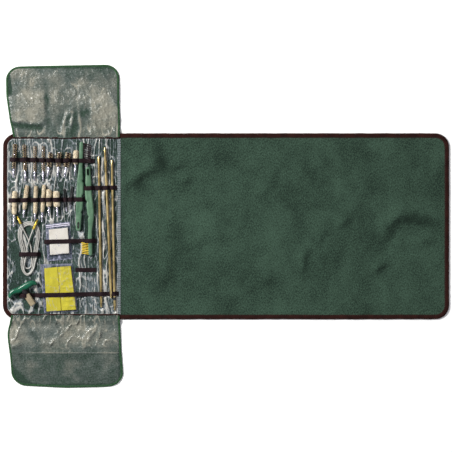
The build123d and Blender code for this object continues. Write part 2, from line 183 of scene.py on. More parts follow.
def span(node, y):
    """(lowest x, highest x, highest z) of the cut through a CAD node across the panel at y."""
    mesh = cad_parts[node].data
    place = points(node)
    edges = np.empty(len(mesh.edges) * 2, int)
    mesh.edges.foreach_get("vertices", edges)
    a, b = place[edges[::2]], place[edges[1::2]]
    across = (a[:, 1] - y) * (b[:, 1] - y) < 0
    a, b = a[across], b[across]
    t = ((y - a[:, 1]) / (b[:, 1] - a[:, 1]))[:, None]
    cut = a + (b - a) * t
    return cut[:, 0].min(), cut[:, 0].max(), cut[:, 2].max()


class Line:
    """The middle line of a long CAD node: its end, its direction to its top, and its frame."""

    def __init__(self, node):
        place = points(node)
        way = np.linalg.svd(place[:, :2] - place[:, :2].mean(0), full_matrices=False)[2][0]
        for _ in range(3):
            way = way * (1 if way[1] > 0 else -1)
            reach = place[:, :2] @ way
            end = place[reach < reach.min() + 0.3, :2]
            top = place[reach > reach.max() - 0.3, :2]
            end = (end.min(0) + end.max(0)) / 2
            top = (top.min(0) + top.max(0)) / 2
            way = unit(top - end)
        height = (place[:, 2].min() + place[:, 2].max()) / 2
        self.end = np.array([end[0], end[1], height])
        self.top = np.array([top[0], top[1], height])
        self.along = np.array([way[0], way[1], 0.0])
        self.side = np.array([way[1], -way[0], 0.0])
        self.up = UP
        self.length = float(np.linalg.norm(top - end))
        self.radius = (place[:, 2].max() - place[:, 2].min()) / 2

    def at(self, along, side=0.0, up=0.0):
        """Points at distances along, to the side of and over the line."""
        along, side, up = np.broadcast_arrays(along, side, up)
        place = self.end + along[..., None] * self.along
        return place + side[..., None] * self.side + up[..., None] * self.up

    def out(self, angle):
        """Directions straight out from the line."""
        return self.side * np.cos(angle)[:, None] + self.up * np.sin(angle)[:, None]


class Axis(Line):
    """A line given by its two ends, which need not be level."""

    def __init__(self, end, top):
        self.end, self.top = np.asarray(end, float), np.asarray(top, float)
        self.length = float(np.linalg.norm(self.top - self.end))
        self.along = unit(self.top - self.end)
        self.side = unit(np.cross(self.along, UP))
        self.up = np.cross(self.side, self.along)


def corners(node):
    """The four corners of a flat CAD node: top left, top right, bottom right, bottom left."""
    place = points(node)[:, :2]
    return np.array([place[np.argmax(place @ way)] for way in ((-1, 1), (1, 1), (1, -1), (-1, -1))])


# ------------------------------------------------------------------ making meshes
class Shape:
    """The points, faces and materials of one piece."""

    def __init__(self):
        self.points, self.uvs, self.faces, self.slots, self.tone_and_painted_light = [], [], [], [], []
        self.count = 0

    def add(self, place, faces, slot=0, uv=None, tone_and_painted_light=None):
        place = np.asarray(place, float).reshape(-1, 3)
        self.points.append(place)
        self.uvs.append(place[:, :2] if uv is None else np.asarray(uv, float).reshape(-1, 2))
        self.tone_and_painted_light.append(np.zeros(len(place)) if tone_and_painted_light is None else np.asarray(tone_and_painted_light, float).ravel())
        if isinstance(faces, np.ndarray):
            faces = faces.tolist()
        self.faces += [[index + self.count for index in face] for face in faces]
        self.slots += [slot] * len(faces)
        self.count += len(place)


def grid_faces(rows, columns, wrap=False):
    i = np.arange(rows - 1)[:, None]
    j = np.arange(columns if wrap else columns - 1)[None, :]
    a = i * columns + j
    b = i * columns + (j + 1) % columns
    return np.stack([a, b, b + columns, a + columns], -1).reshape(-1, 4)


def tube_faces(rows, columns):
    """Rings of points joined to a tube and closed at both ends."""
    ends = [list(range(columns)), list(range((rows - 1) * columns, rows * columns))]
    return grid_faces(rows, columns, True).tolist() + ends


def slab_faces(rows, columns):
    """An upper grid and the lower grid that follows it, joined all round their edge."""
    faces, count = grid_faces(rows, columns), rows * columns
    around = list(range(columns)) + [r * columns + columns - 1 for r in range(1, rows)]
    around += [(rows - 1) * columns + c for c in range(columns - 2, -1, -1)]
    around += [r * columns for r in range(rows - 2, 0, -1)]
    wall = [[a, b, b + count, a + count] for a, b in zip(around, around[1:] + around[:1])]
    return faces.tolist() + (faces[:, ::-1] + count).tolist() + wall


def piece(name, shape, materials, body, stands_for=(), sharp=38):
    """A mesh object from a shape, riding on a CAD body if one is named."""
    mesh = bpy.data.meshes.new(name)
    place = np.concatenate(shape.points) * MM
    mesh.from_pydata(place.tolist(), [], shape.faces)
    mesh.polygons.foreach_set("material_index", shape.slots)
    uv = np.concatenate(shape.uvs) * MM
    index = np.empty(len(mesh.loops), int)
    mesh.loops.foreach_get("vertex_index", index)
    mesh.uv_layers.new(name="rest").data.foreach_set("uv", uv[index].ravel())
    # The stored value: a film's milkiness and the felt's tone, with painted highlight and painted shade
    tone_and_painted_light = mesh.attributes.new("tone_and_painted_light", "FLOAT", "POINT")
    tone_and_painted_light.data.foreach_set("value", np.concatenate(shape.tone_and_painted_light).astype(np.float32))
    for material in materials:
        mesh.materials.append(material)
    mesh.shade_smooth()
    mesh.set_sharp_from_angle(angle=math.radians(sharp))
    mesh.update()
    made = bpy.data.objects.new(name, mesh)
    bpy.context.scene.collection.objects.link(made)
    if body:
        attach(made, body)
    if stands_for:
        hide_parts(*([stands_for] if isinstance(stands_for, str) else stands_for))
    return made


def lathe(shape, line, profile, slot=0, segments=20, radius=None):
    """A turned solid round a line. profile is rows of (distance along, radius)."""
    profile = np.asarray(profile, float)
    angle = np.arange(segments) * 2 * PI / segments
    along = np.repeat(profile[:, :1], segments, 1)
    round_ = np.repeat(profile[:, 1:], segments, 1)
    if radius is not None:
        round_ = radius(along, angle[None, :] + 0 * along, round_)
    place = line.at(along, round_ * np.cos(angle), round_ * np.sin(angle))
    uv = np.stack([along, angle[None, :] * 2 + 0 * along], -1)
    shape.add(place, tube_faces(len(profile), segments), slot, uv)


def spikes(shape, root, tip, root_width, tip_width, slot=0):
    """Thin three-sided bristles from each root to each tip."""
    way = unit(tip - root)
    other = np.where(np.abs(way[:, 2:]) > 0.9, [[1.0, 0, 0]], [[0, 0, 1.0]])
    a = unit(np.cross(way, other))
    b = np.cross(way, a)
    rings = []
    for centre, width in ((root, root_width), (tip, tip_width)):
        for k in range(3):
            turn = 2 * PI * k / 3
            rings.append(centre + width * (math.cos(turn) * a + math.sin(turn) * b))
    place = np.stack(rings, 1)
    start = (np.arange(len(root)) * 6)[:, None]
    quads = np.array([[0, 1, 4, 3], [1, 2, 5, 4], [2, 0, 3, 5]])
    ends = np.array([[3, 4, 5], [2, 1, 0]])
    faces = (start[:, None] + quads[None]).reshape(-1, 4).tolist()
    faces += (start[:, None] + ends[None]).reshape(-1, 3).tolist()
    shape.add(place, faces, slot)


def swept(shape, path, section, slot=0, side=None, loop=False):
    """A section carried along a path. section is rows of (to the side, up)."""
    path, section = np.asarray(path, float), np.asarray(section, float)
    if loop:
        way = unit(np.roll(path, -1, 0) - np.roll(path, 1, 0))
    else:
        way = unit(np.gradient(path, axis=0))
    if side is None:
        side = unit(np.cross(way, UP))
    side = np.broadcast_to(side, way.shape)
    up = unit(np.cross(side, way))
    place = path[:, None] + side[:, None] * section[None, :, :1] + up[:, None] * section[None, :, 1:]
    n, m = len(path), len(section)
    faces = tube_faces(n, m)
    if loop:
        last = (n - 1) * m
        faces[-2:] = [[last + j, last + (j + 1) % m, (j + 1) % m, j] for j in range(m)]
    uv = np.stack(np.meshgrid(run_along(path), run_along(section), indexing="ij"), -1)
    shape.add(place, faces, slot, uv)


def circle(radius, segments=10):
    angle = np.arange(segments) * 2 * PI / segments
    return np.stack([radius * np.cos(angle), radius * np.sin(angle)], -1)


def stitches(shape, path, length, gap, width):
    """Short raised threads along a path, in the piece's second material."""
    path = np.asarray(path, float)
    run = run_along(path)
    start = np.arange(0.5, run[-1] - length, length + gap)
    at = np.stack([start, start + length * 0.25, start + length * 0.75, start + length], 1)
    place = np.stack([np.interp(at, run, path[:, k]) for k in range(3)], -1)
    way = unit(place[:, 3] - place[:, 0])
    side = unit(np.cross(way, UP))
    lift = np.array([-0.1, 1.0, 1.0, -0.1]) * width * 1.2
    wide = np.array([0.5, 1.0, 1.0, 0.5]) * width
    rows = []
    for k in range(4):
        centre = place[:, k] + UP * lift[k]
        rows += [centre + way * wide[k] for way in (side, UP, -side, -UP)]
    place = np.stack(rows, 1)
    base = grid_faces(4, 4, True)
    ends = np.array([[0, 1, 2, 3], [15, 14, 13, 12]])
    faces = np.concatenate([base, ends])
    start = (np.arange(len(place)) * 16)[:, None, None]
    shape.add(place, (start + faces[None]).reshape(-1, 4), 1)


# ------------------------------------------------------------------ materials
class Nodes:
    """The nodes of a material or a world, and short ways to add to them."""

    def __init__(self, owner, output):
        owner.use_nodes = True
        self.tree = owner.node_tree
        self.tree.nodes.clear()
        self.out = self.tree.nodes.new(output)

    def node(self, kind, settings=None, **values):
        made = self.tree.nodes.new(kind)
        for name, value in (settings or {}).items():
            setattr(made, name, value)
        for name, value in values.items():
            self.put(made, name.replace("_", " "), value)
        return made

    def put(self, node, name, value):
        socket = node.inputs[int(name)] if name.isdigit() else node.inputs[name]
        if isinstance(value, bpy.types.NodeSocket):
            self.tree.links.new(value, socket)
        else:
            socket.default_value = value

    def ramp(self, value, *stops):
        """Colours, or single shades of grey, blended between their places."""
        made = self.node("ShaderNodeValToRGB", Fac=value)
        band = made.color_ramp
        while len(band.elements) < len(stops):
            band.elements.new(0.5)
        for element, (place, colour) in zip(band.elements, stops):
            element.position = place
            element.color = (*colour, 1) if len(colour) == 3 else (colour[0],) * 3 + (1,)
        return made.outputs[0]


class Paint(Nodes):
    """A material with one main shader."""

    def __init__(self, name, **values):
        self.material = bpy.data.materials.new(name)
        super().__init__(self.material, "ShaderNodeOutputMaterial")
        self.shader = self.node("ShaderNodeBsdfPrincipled", **values)
        self.put(self.out, "Surface", self.shader.outputs[0])

    def set(self, name, value):
        self.put(self.shader, name, value)

    def coordinates(self, scale=(1, 1, 1), turn=0.0, flat=True):
        source = self.node("ShaderNodeTexCoord").outputs["UV" if flat else "Object"]
        mapping = self.node("ShaderNodeMapping", Vector=source, Scale=scale)
        mapping.inputs["Rotation"].default_value = (0, 0, turn)
        return mapping.outputs[0]

    def noise(self, scale, detail=3.0, stretch=(1, 1, 1), turn=0.0, flat=True, rough=0.55):
        where = self.coordinates(stretch, turn, flat)
        made = self.node("ShaderNodeTexNoise", Vector=where, Scale=scale, Detail=detail, Roughness=rough)
        return made.outputs[0]

    def math(self, operation, a, b):
        made = self.node("ShaderNodeMath", {"operation": operation})
        self.put(made, "0", a)
        self.put(made, "1", b)
        return made.outputs[0]

    def total(self, *terms):
        """The sum of (value, weight) terms."""
        found = self.math("MULTIPLY", *terms[0])
        for term in terms[1:]:
            found = self.math("ADD", found, self.math("MULTIPLY", *term))
        return found

    def tone_and_painted_light(self):
        """The tone, with painted highlight and painted shade, stored on a piece's points."""
        return self.node("ShaderNodeAttribute", {"attribute_name": "tone_and_painted_light"}).outputs["Fac"]

    def bump(self, height, distance, strength=1.0):
        normal = self.node("ShaderNodeBump", Height=height, Distance=distance, Strength=strength)
        self.set("Normal", normal.outputs[0])


def srgb(red, green, blue):
    """A colour given as 0 to 255 on a screen, as the renderer wants it."""
    return tuple(((v / 255 + 0.055) / 1.055) ** 2.4 if v > 10 else v / 3294 for v in (red, green, blue))


def felt_paint(name, dark, light, grain=1.0):
    """Needled felt: fibres, a fine mottle, slow changes of tone, and painted shade stored on its points."""
    paint = Paint(name, Roughness=0.95)
    fibre = paint.noise(900 * grain, 3, (1, 0.5, 1), 0.5, rough=0.7)
    mottle = paint.noise(430, 4, (1, 0.7, 1), -0.4, rough=0.75)
    slow = paint.noise(16, 4)
    # The stored value darkens the felt: painted shade in the mat's creases, with painted highlight beside
    # them
    tone = paint.total((fibre, 0.4), (mottle, 0.75), (slow, 0.12), (paint.tone_and_painted_light(), -0.16))
    paint.set("Base Color", paint.ramp(tone, (0.55, dark), (0.735, light)))
    paint.set("Sheen Weight", 0.04)
    paint.set("Sheen Roughness", 0.5)
    paint.set("Specular IOR Level", 0.25)
    paint.bump(paint.total((fibre, 0.6), (mottle, 1.0)), 0.0009, 1.0)
    return paint.material


def tape_paint(name, dark, light, pitch=1.3):
    """Woven tape: fine crosswise ribs and a little wear."""
    paint = Paint(name, Roughness=0.9)
    where = paint.coordinates()
    ribs, rows = (
        paint.node("ShaderNodeTexWave", {"wave_type": "BANDS", "bands_direction": direction}, Vector=where,
                   Scale=1000 / pitch / 6.28, Distortion=0.6, Detail=1.0).outputs[1] for direction in "XY")
    weave = paint.math("MULTIPLY", ribs, rows)
    tone = paint.total((weave, 0.35), (paint.noise(70, 3), 0.8))
    paint.set("Base Color", paint.ramp(tone, (0.3, dark), (0.85, light)))
    paint.set("Specular IOR Level", 0.12)
    paint.bump(weave, 0.0003, 0.6)
    return paint.material


def film_paint(name, cool, warm, thin, thick, grain, stretch=(1, 1, 1), speckle=0.9, patch=48):
    """Clear film: mostly seen through, milky and bright where it creases; these milky, bright crests are
    painted highlight.
    """
    paint = Paint(name, Roughness=0.22, IOR=1.45)
    crease = paint.tone_and_painted_light()
    fine = paint.noise(grain, 4, stretch, rough=0.7)
    drift = paint.noise(patch, 3, (stretch[0], min(1, stretch[1] * 1.6), 1))
    middle = paint.math("SUBTRACT", fine, 0.5), paint.math("SUBTRACT", drift, 0.5)
    # Painted highlight: the film turns opaque and bright where the stored value is high
    amount = paint.total((crease, 1.0), (middle[0], speckle), (middle[1], 0.4))
    fog_and_painted_highlight = paint.ramp(amount, (0.06, (thin,)), (0.94, (thick,)))
    paint.set("Base Color", paint.ramp(paint.total((drift, 0.6), (crease, 0.4)), (0.42, cool), (0.66, warm)))
    paint.bump(fine, 0.0008, 0.8)
    clear = paint.node("ShaderNodeBsdfTransparent", Color=(0.80, 0.83, 0.84, 1))
    both = paint.node("ShaderNodeMixShader", Fac=fog_and_painted_highlight)
    paint.put(both, "1", clear.outputs[0])
    paint.put(both, "2", paint.shader.outputs[0])
    paint.put(paint.out, "Surface", both.outputs[0])
    return paint.material


def plain_paint(name, dark, light, rough, metal=0.0, grain=300, stretch=(1, 1, 1), depth=0.0001, flat=False):
    """Plastic, metal or thread with slight changes of tone, gloss and surface."""
    paint = Paint(name, Metallic=metal)
    fine = paint.noise(grain, 4, stretch, flat=flat, rough=0.6)
    slow = paint.noise(45, 3, flat=flat)
    paint.set("Base Color", paint.ramp(paint.total((fine, 0.5), (slow, 0.5)), (0.36, dark), (0.64, light)))
    low, high = max(rough - 0.08, 0.05), min(rough + 0.1, 1)
    paint.set("Roughness", paint.ramp(slow, (0.3, (low,)), (0.7, (high,))))
    paint.bump(fine, depth, 0.5)
    return paint.material


felt = felt_paint("felt", srgb(19, 36, 27), srgb(62, 86, 71))
flap_felt = felt_paint("flap_felt", srgb(26, 44, 33), srgb(66, 88, 72))
edging_felt = felt_paint("edging_felt", srgb(20, 50, 28), srgb(60, 94, 62), 1.4)
binding_tape = tape_paint("binding_tape", srgb(26, 10, 8), srgb(56, 27, 22))
binding_thread = plain_paint("binding_thread", srgb(30, 16, 15), srgb(62, 38, 34), 0.6)
elastic_weave = tape_paint("elastic_weave", srgb(18, 10, 13), srgb(48, 34, 38), 0.9)
elastic_thread = plain_paint("elastic_thread", srgb(22, 15, 18), srgb(48, 36, 42), 0.55)
panel_clear = film_paint("panel_clear", srgb(146, 156, 166), srgb(176, 175, 169), 0.03, 0.96, 400,
                         (2.0, 0.4, 1), 1.5)
flap_clear = film_paint("flap_clear", srgb(114, 123, 120), srgb(138, 137, 125), 0.04, 0.93, 330,
                        speckle=1.5, patch=17)
bag_clear = film_paint("bag_clear", srgb(176, 178, 208), srgb(190, 188, 206), 0.02, 0.8, 200, speckle=0.35)
seam_tape = plain_paint("seam_tape", srgb(62, 72, 72), srgb(104, 112, 116), 0.7, grain=500, flat=True)
pale_thread = plain_paint("pale_thread", srgb(176, 184, 190), srgb(222, 228, 232), 0.7)
bronze = plain_paint("bronze_wire", srgb(184, 162, 128), srgb(246, 228, 192), 0.42, 0.4, 900, depth=0.00005)
painted_shade_core = plain_paint("painted_shade_core", srgb(30, 18, 14), srgb(56, 36, 26), 0.6, 0.3)
steel = plain_paint("plated_steel", srgb(196, 192, 210), srgb(236, 232, 246), 0.24, 0.9, 700, depth=0.00003)
wool = plain_paint("wool_pile", srgb(168, 150, 122), srgb(236, 226, 202), 0.95, grain=500, depth=0.0006)
black_moulded = plain_paint("black_moulded", srgb(20, 20, 22), srgb(42, 41, 44), 0.38)
green_moulded = plain_paint("green_moulded", srgb(62, 93, 71), srgb(88, 121, 95), 0.34, grain=160,
                            depth=0.00008)
nylon_fibre = plain_paint("nylon_fibre", srgb(22, 14, 16), srgb(62, 44, 48), 0.6)
brass_fibre = plain_paint("brass_fibre", srgb(214, 176, 44), srgb(255, 232, 96), 0.4, 0.35, 900)
brass_rod = plain_paint("drawn_brass", srgb(150, 130, 84), srgb(206, 186, 132), 0.32, 0.85, 500,
                        (6, 0.4, 6), 0.00003)
brass_bright = plain_paint("turned_brass", srgb(200, 168, 60), srgb(246, 222, 110), 0.25, 0.85, 700)
green_gloss = plain_paint("green_gloss", srgb(6, 66, 46), srgb(16, 92, 66), 0.22, grain=120, depth=0.00006)
brass_dull = plain_paint("dull_brass", srgb(136, 122, 98), srgb(182, 168, 140), 0.45, 0.45, 500,
                         depth=0.00012)
cotton = plain_paint("patch_flannel", srgb(226, 212, 198), srgb(252, 240, 229), 0.95, grain=1100,
                     depth=0.0003, flat=True)
flannel = plain_paint("yellow_flannel", srgb(196, 178, 24), srgb(226, 208, 56), 0.95, grain=900, depth=0.0004,
                      flat=True)
coated_cable = plain_paint("coated_cable", srgb(126, 126, 122), srgb(188, 186, 180), 0.35, grain=900,
                           depth=0.00012)

floor_paint = Paint("floor_paint", Roughness=0.9)
floor_tone = floor_paint.noise(1.5, 2, flat=False)
floor_tone = floor_paint.ramp(floor_tone, (0.3, srgb(249, 249, 249)), (0.7, srgb(254, 254, 254)))
floor_paint.set("Base Color", floor_tone)

# A sky that is brighter towards the key light
world = bpy.data.worlds.new("studio")
sky = Nodes(world, "ShaderNodeOutputWorld")
sky_way = sky.node("ShaderNodeTexCoord").outputs["Generated"]
sky_dot = sky.node("ShaderNodeVectorMath", {"operation": "DOT_PRODUCT"})
sky.put(sky_dot, "0", sky_way)
sky.put(sky_dot, "1", (-0.75, 0.45, 0.35))
sky_tone = sky.ramp(sky_dot.outputs["Value"], (0.0, (0.50, 0.50, 0.53)), (0.75, (1, 1, 1)))
sky.put(sky.out, "Surface", sky.node("ShaderNodeBackground", Color=sky_tone, Strength=0.42).outputs[0])
bpy.context.scene.world = world

floor_mesh = bpy.data.meshes.new("floor")
floor_mesh.from_pydata([(-6, -6, 0), (6, -6, 0), (6, 6, 0), (-6, 6, 0)], [], [(0, 1, 2, 3)])
floor_mesh.materials.append(floor_paint.material)
floor = bpy.data.objects.new("floor", floor_mesh)
bpy.context.scene.collection.objects.link(floor)
floor.location.z = -0.0002

# ------------------------------------------------------------------ pull-through cable
CABLE = 1.3
TURN_PITCH = 2.95
LAYER_1 = FLOOR + CABLE + 0.1
LAYER_2 = LAYER_1 + 2 * CABLE + 0.15

# One turn of the hank, clockwise from the waist: round the lower loop, then round the upper one
LOWER_TURN = [(-376.9, -58), (-379.3, -70), (-381.2, -83), (-387, -95), (-395.2, -100.2), (-403.4, -95.5),
              (-409.2, -83), (-408.9, -70), (-406.6, -58)]
UPPER_TURN = [(-408, -45), (-412.2, -32), (-414.9, -17), (-412.4, -3), (-404, 6.3), (-393, 9.0), (-382, 6.6),
              (-373.8, -3), (-371.4, -18), (-374, -33), (-376.2, -46)]


def strand(turn, start, end, sway, low=LAYER_1, high=LAYER_1):
    """Control points of one pass round part of the hank, inside it by start to end cable widths."""
    found = []
    for n, (x, y) in enumerate(turn):
        inside = start + (end - start) * n / (len(turn) - 1)
        spine = np.array([-393.0, min(max(y, -84.0), -9.0)])
        inward = unit(spine - (x, y))
        loose = sway * math.sin(n * 1.9 + 3 * start + 1)
        place = np.array([x, y]) + inward * (TURN_PITCH * inside + loose)
        found.append((*place, low + (high - low) * n / (len(turn) - 1)))
    return found


# From the left fitting down into the hank, round its inner U, three turns outwards, up to the right fitting
INNER_U = [(-393.6, -28.5), (-388.4, -44), (-388.0, -58), (-388.2, -70), (-388.7, -78), (-390.6, -82.8),
           (-395.4, -84.8), (-400.2, -82.8), (-402.1, -78), (-401.6, -70), (-400.3, -58)]
route = [(-410.7, 8.0, 9.2), (-408.6, 3.7, 9.0), (-405, -4.2, 7.6), (-400, -15, 5.4)]
route += [(*place, LAYER_1) for place in INNER_U]
route += strand(UPPER_TURN, 2.1, 2.0, 0.35) + strand(LOWER_TURN, 2.0, 1.0, 0.25)
route += strand(UPPER_TURN, 1.05, 1.0, 0.3) + strand(LOWER_TURN, 0.95, 0.0, 0.2)
route += strand(UPPER_TURN, 0.0, 0.0, 0.0) + strand(LOWER_TURN[:6], 0.05, 1.3, 0.0, LAYER_1 + 0.6, LAYER_2)
route += [(-403.5, -84, LAYER_2), (-401, -71, LAYER_2), (-398.6, -58, LAYER_2), (-397.4, -45, LAYER_2),
          (-392.6, -28, LAYER_2), (-387.8, -14.6, LAYER_2 + 0.3), (-384.6, -6.8, LAYER_2 + 0.9),
          (-382.9, -2.6, LAYER_2 + 1.5)]

cable_curve = bpy.data.curves.new("cable", "CURVE")
cable_curve.dimensions = "3D"
cable_curve.bevel_depth = CABLE * MM
cable_curve.bevel_resolution = 4
cable_curve.use_fill_caps = True
cable_line = cable_curve.splines.new("NURBS")
cable_line.points.add(len(route) - 1)
for point, (x, y, z) in zip(cable_line.points, route):
    point.co = (x * MM, y * MM, z * MM, 1)
cable_line.order_u = 3
cable_line.use_endpoint_u = True
cable_line.resolution_u = 8
cable_curve.materials.append(coated_cable)
cable = bpy.data.objects.new("cable", cable_curve)
bpy.context.scene.collection.objects.link(cable)
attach(cable, "pull_through_cable")
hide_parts("cable_hank")


def threaded(shape, line, start, end, radius, pitch=0.8, slot=0, segments=16):
    """A screw thread between two distances along a line."""
    along = np.linspace(start, end, int((end - start) / pitch * 5) + 1)

    def wave(distance, angle, base):
        turn = (distance / pitch - angle / (2 * PI)) % 1
        fade = window(distance, start, start + pitch, end - 0.2, end)
        return base - 0.32 * np.abs(turn * 2 - 1) * fade - 0.28 * (1 - fade)

    lathe(shape, line, np.stack([along, along * 0 + radius], -1), slot, segments, wave)


def cable_fitting(name, outer, inner):
    """A turned brass ferrule with a threaded end, crimped on the cable."""
    line = Axis(outer, inner)
    shape = Shape()
    threaded(shape, line, 0, 5, 1.65)
    body = [(4.8, 1.5), (5.0, 2.1), (5.4, 2.35), (8.2, 2.35), (8.5, 2.0), (9.1, 2.0), (9.4, 2.35),
            (11.0, 2.35), (11.3, 2.05), (11.8, 2.05), (12.1, 2.35)]
    stop = line.length
    body += [(stop - 1.0, 2.35), (stop - 0.3, 2.1), (stop, 1.5)]
    lathe(shape, line, [row for row in body if row[0] <= stop], 0, 20)
    return piece(name, shape, [brass_bright], "pull_through_cable", "cable_ferrules")


fitting_a = cable_fitting("cable_fitting_a", (-416.2, 19.4, 6.0), (-408.9, 4.3, 9.1))
fitting_b = cable_fitting("cable_fitting_b", (-375.3, 13.5, 8.4), (-384.4, -6.4, 8.9))

# ------------------------------------------------------------------ the mat's felt
# Half the mat's length and width, its corner radius, and where the felt's two lengths meet
MAT_LENGTH, MAT_WIDTH, MAT_CORNER = 446.0, 186.0, 28.0
SPLIT_X = -34.0
FELT_INSET = 1.3


def half_width(x, inset):
    """How far the mat reaches from its middle line at x, pulled in by inset."""
    reach, wide, corner = MAT_LENGTH - inset, MAT_WIDTH - inset, MAT_CORNER - inset
    into = np.clip(corner - (reach - np.abs(x)), 0, corner)
    return wide - corner + np.sqrt(np.maximum(corner**2 - into**2, 0))


# Creases in the open felt: a path in mm, then how far it falls on its right and over what width
CREASES = (
    (((-218, 82), (-190, 92), (-160, 106), (-138, 122), (-143, 145), (-152, 172)), 3.0, 13),
    (((-116, 116), (-100, 119), (-86, 127)), 1.5, 9),
    (((-92, 92), (-80, 95), (-68, 100)), 1.3, 9),
    (((303, -40), (314, -14), (329, 6), (345, 18), (364, 23), (390, 19), (412, 12), (430, 2)), 3.4, 14),
    (((220, 0), (234, 7), (248, 22)), 2.0, 10),
    (((293, -90), (304, -82), (319, -69)), 2.0, 11),
    (((383, -30), (400, -27), (420, -29)), 1.5, 9),
    (((150, -108), (153, -72), (158, -58), (170, -36)), 1.7, 10),
    (((182, -36), (190, -18), (205, 0)), 1.4, 9),
    (((-70, -40), (-30, -20), (10, -24)), 0.9, 12),
    (((60, 60), (90, 84), (100, 120)), 0.9, 12),
    (((-150, -130), (-120, -100), (-118, -70)), 0.9, 12),
    (((20, -140), (60, -110), (110, -100)), 0.9, 12),
)


def crease(x, y, path, high, steep):
    """How high a fold along a path stands and how much painted shade it gets; its right side is the steep
    one.
    """
    path = np.array(path, float)
    near = np.full(np.shape(x), 1e9)
    across, run = np.zeros(np.shape(x)), np.zeros(np.shape(x))
    for n, (a, b) in enumerate(zip(path[:-1], path[1:])):
        way = b - a
        t = ((x - a[0]) * way[0] + (y - a[1]) * way[1]) / (way @ way)
        held = np.clip(t, 0, 1)
        dx, dy = x - a[0] - held * way[0], y - a[1] - held * way[1]
        gap = np.hypot(dx, dy)
        side = np.where(way[0] * dy - way[1] * dx > 0, -1.0, 1.0)
        closer = gap < near
        near = np.where(closer, gap, near)
        across = np.where(closer, gap * side, across)
        run = np.where(closer, n + held, run)
    along = run / (len(path) - 1)
    across = across + 0.28 * steep * noise(x / 14, y / 14, 6) + 0.12 * steep * noise(x / 5, y / 5, 7)
    steep = 1.35 * steep
    ends = np.sin(PI * (0.08 + 0.84 * along)) * (0.75 + 0.25 * noise(x / 13, y / 13, 4))
    rise = np.exp(-np.maximum(-across, 0) / (2.6 * steep))
    kept = fall(across, 0, steep)
    back = np.exp(-((np.maximum(across, 0) / (3.5 * steep)) ** 2))
    lift = high * ends * (rise * kept - 0.25 * (1 - kept) * back) * hill(near, 0, 5 * steep)
    # Painted shade on the fold's steep side, away from the key light, and a little painted highlight on its
    # gentle side
    shade = hill(across, 0.5 * steep, 0.75 * steep) - 0.3 * hill(across, -0.8 * steep, 0.9 * steep)
    shade = high * ends * shade
    return np.stack([1.5 * lift, 0.25 * shade * hill(near, 0, 2.2 * steep)])


def felt_height(x, y):
    """The felt's soft ups and downs, flat under the tool panel and where the edge is bound."""
    open_felt = step(x, -206, -180) * fall(np.abs(y), 158, 178) * fall(np.abs(x), 422, 440)
    low = 0.8 * fbm(x / 48, y / 40, 3, 4) + 0.5 * (ridged((x + y) / 55, (y - x) / 90, 19, 2) - 0.4)
    fold = sum(crease(x, y, *row)[0] for row in CREASES)
    return FELT_TOP + open_felt * (low + fold + 0.12 * noise(x / 6, y / 6, 9))


def felt_painted_shade_and_tone(x, y):
    """Painted shade in the creases, with painted highlight on their gentle side, and slow random patches of
    tone.
    """
    fold = sum(crease(x, y, *row)[1] for row in CREASES)
    return fold * step(x, -208, -196) + 0.32 * fbm(x / 46, y / 60, 71, 3) + 0.12 * noise(x / 12, y / 17, 5)


def mat_columns(start, end):
    """Places along the mat for its grid, closer together at the round corners."""
    corner = MAT_CORNER * (1 - np.cos(np.linspace(0, PI / 2, 10)))[:-1]
    inner = np.arange(-MAT_LENGTH + MAT_CORNER, MAT_LENGTH - MAT_CORNER + 0.1, 3.0)
    columns = np.concatenate([-MAT_LENGTH + corner, inner, MAT_LENGTH - corner])
    columns = np.unique(np.round(np.append(columns, [start, end]), 3))
    return columns[(columns >= start) & (columns <= end)]


def felt_piece(start, end):
    """A length of the mat's felt, thinned where the binding grips it."""
    x = np.clip(mat_columns(start, end), -MAT_LENGTH + FELT_INSET, MAT_LENGTH - FELT_INSET)
    t = np.linspace(-1, 1, 131)
    wide = half_width(x, FELT_INSET)[:, None]
    gx, gy = np.broadcast_arrays(x[:, None], wide * t[None, :])
    gripped = fall(wide * (1 - np.abs(t[None, :])), 0, 9)
    upper = np.stack([gx, gy, felt_height(gx, gy) - 0.6 * gripped], -1)
    lower = np.stack([gx, gy, 0.05 + 0.5 * gripped], -1)
    shade = felt_painted_shade_and_tone(gx, gy)
    shape = Shape()
    shape.add([upper, lower], slab_faces(*gx.shape), tone_and_painted_light=[shade, 0 * shade])
    return shape


felt_left = piece("mat_felt_left", felt_piece(-MAT_LENGTH, SPLIT_X), [felt], None,
                  ("tool_panel", "fold_strip_1"))
felt_right = piece("mat_felt_right", felt_piece(SPLIT_X, MAT_LENGTH), [felt], None,
                   ("mat_panel_1", "fold_strip_2", "mat_panel_2"))

# ------------------------------------------------------------------ the binding round it
# Rows of (distance in from the mat's edge, height)
BINDING_SECTION = np.array([(9.4, 2.9), (9.0, 3.5), (7.6, 3.75), (5.4, 4.0), (3.0, 3.9), (1.3, 3.3),
                            (0.35, 2.4), (0.1, 1.5), (0.7, 0.5), (2.2, 0.05), (5.5, 0.0), (9.2, 0.0),
                            (9.4, 0.4)])


def outline(inset, start, end, gap=2.0):
    """The mat's edge pulled in by inset, from the lower side at start round to the upper side."""
    left = start < -MAT_LENGTH + 1
    sign = -1 if left else 1
    corner = MAT_CORNER - inset
    reach, wide = MAT_LENGTH - inset, MAT_WIDTH - inset
    inner = sign * (end if left else start)
    cos, sin = corner * np.cos(np.linspace(0, PI / 2, 14)), corner * np.sin(np.linspace(0, PI / 2, 14))
    x, y = reach - corner, wide - corner
    low = np.arange(inner, x, gap)
    far = np.arange(-y + gap, y - gap / 2, gap)
    high = np.append(np.arange(x - gap, inner + gap / 2, -gap), inner)
    path = np.concatenate([np.stack([low, low * 0 - wide], -1), np.stack([x + sin, -y - cos], -1),
                           np.stack([far * 0 + reach, far], -1), np.stack([x + cos, y + sin], -1),
                           np.stack([high, high * 0 + wide], -1)])
    return path * (sign, 1)


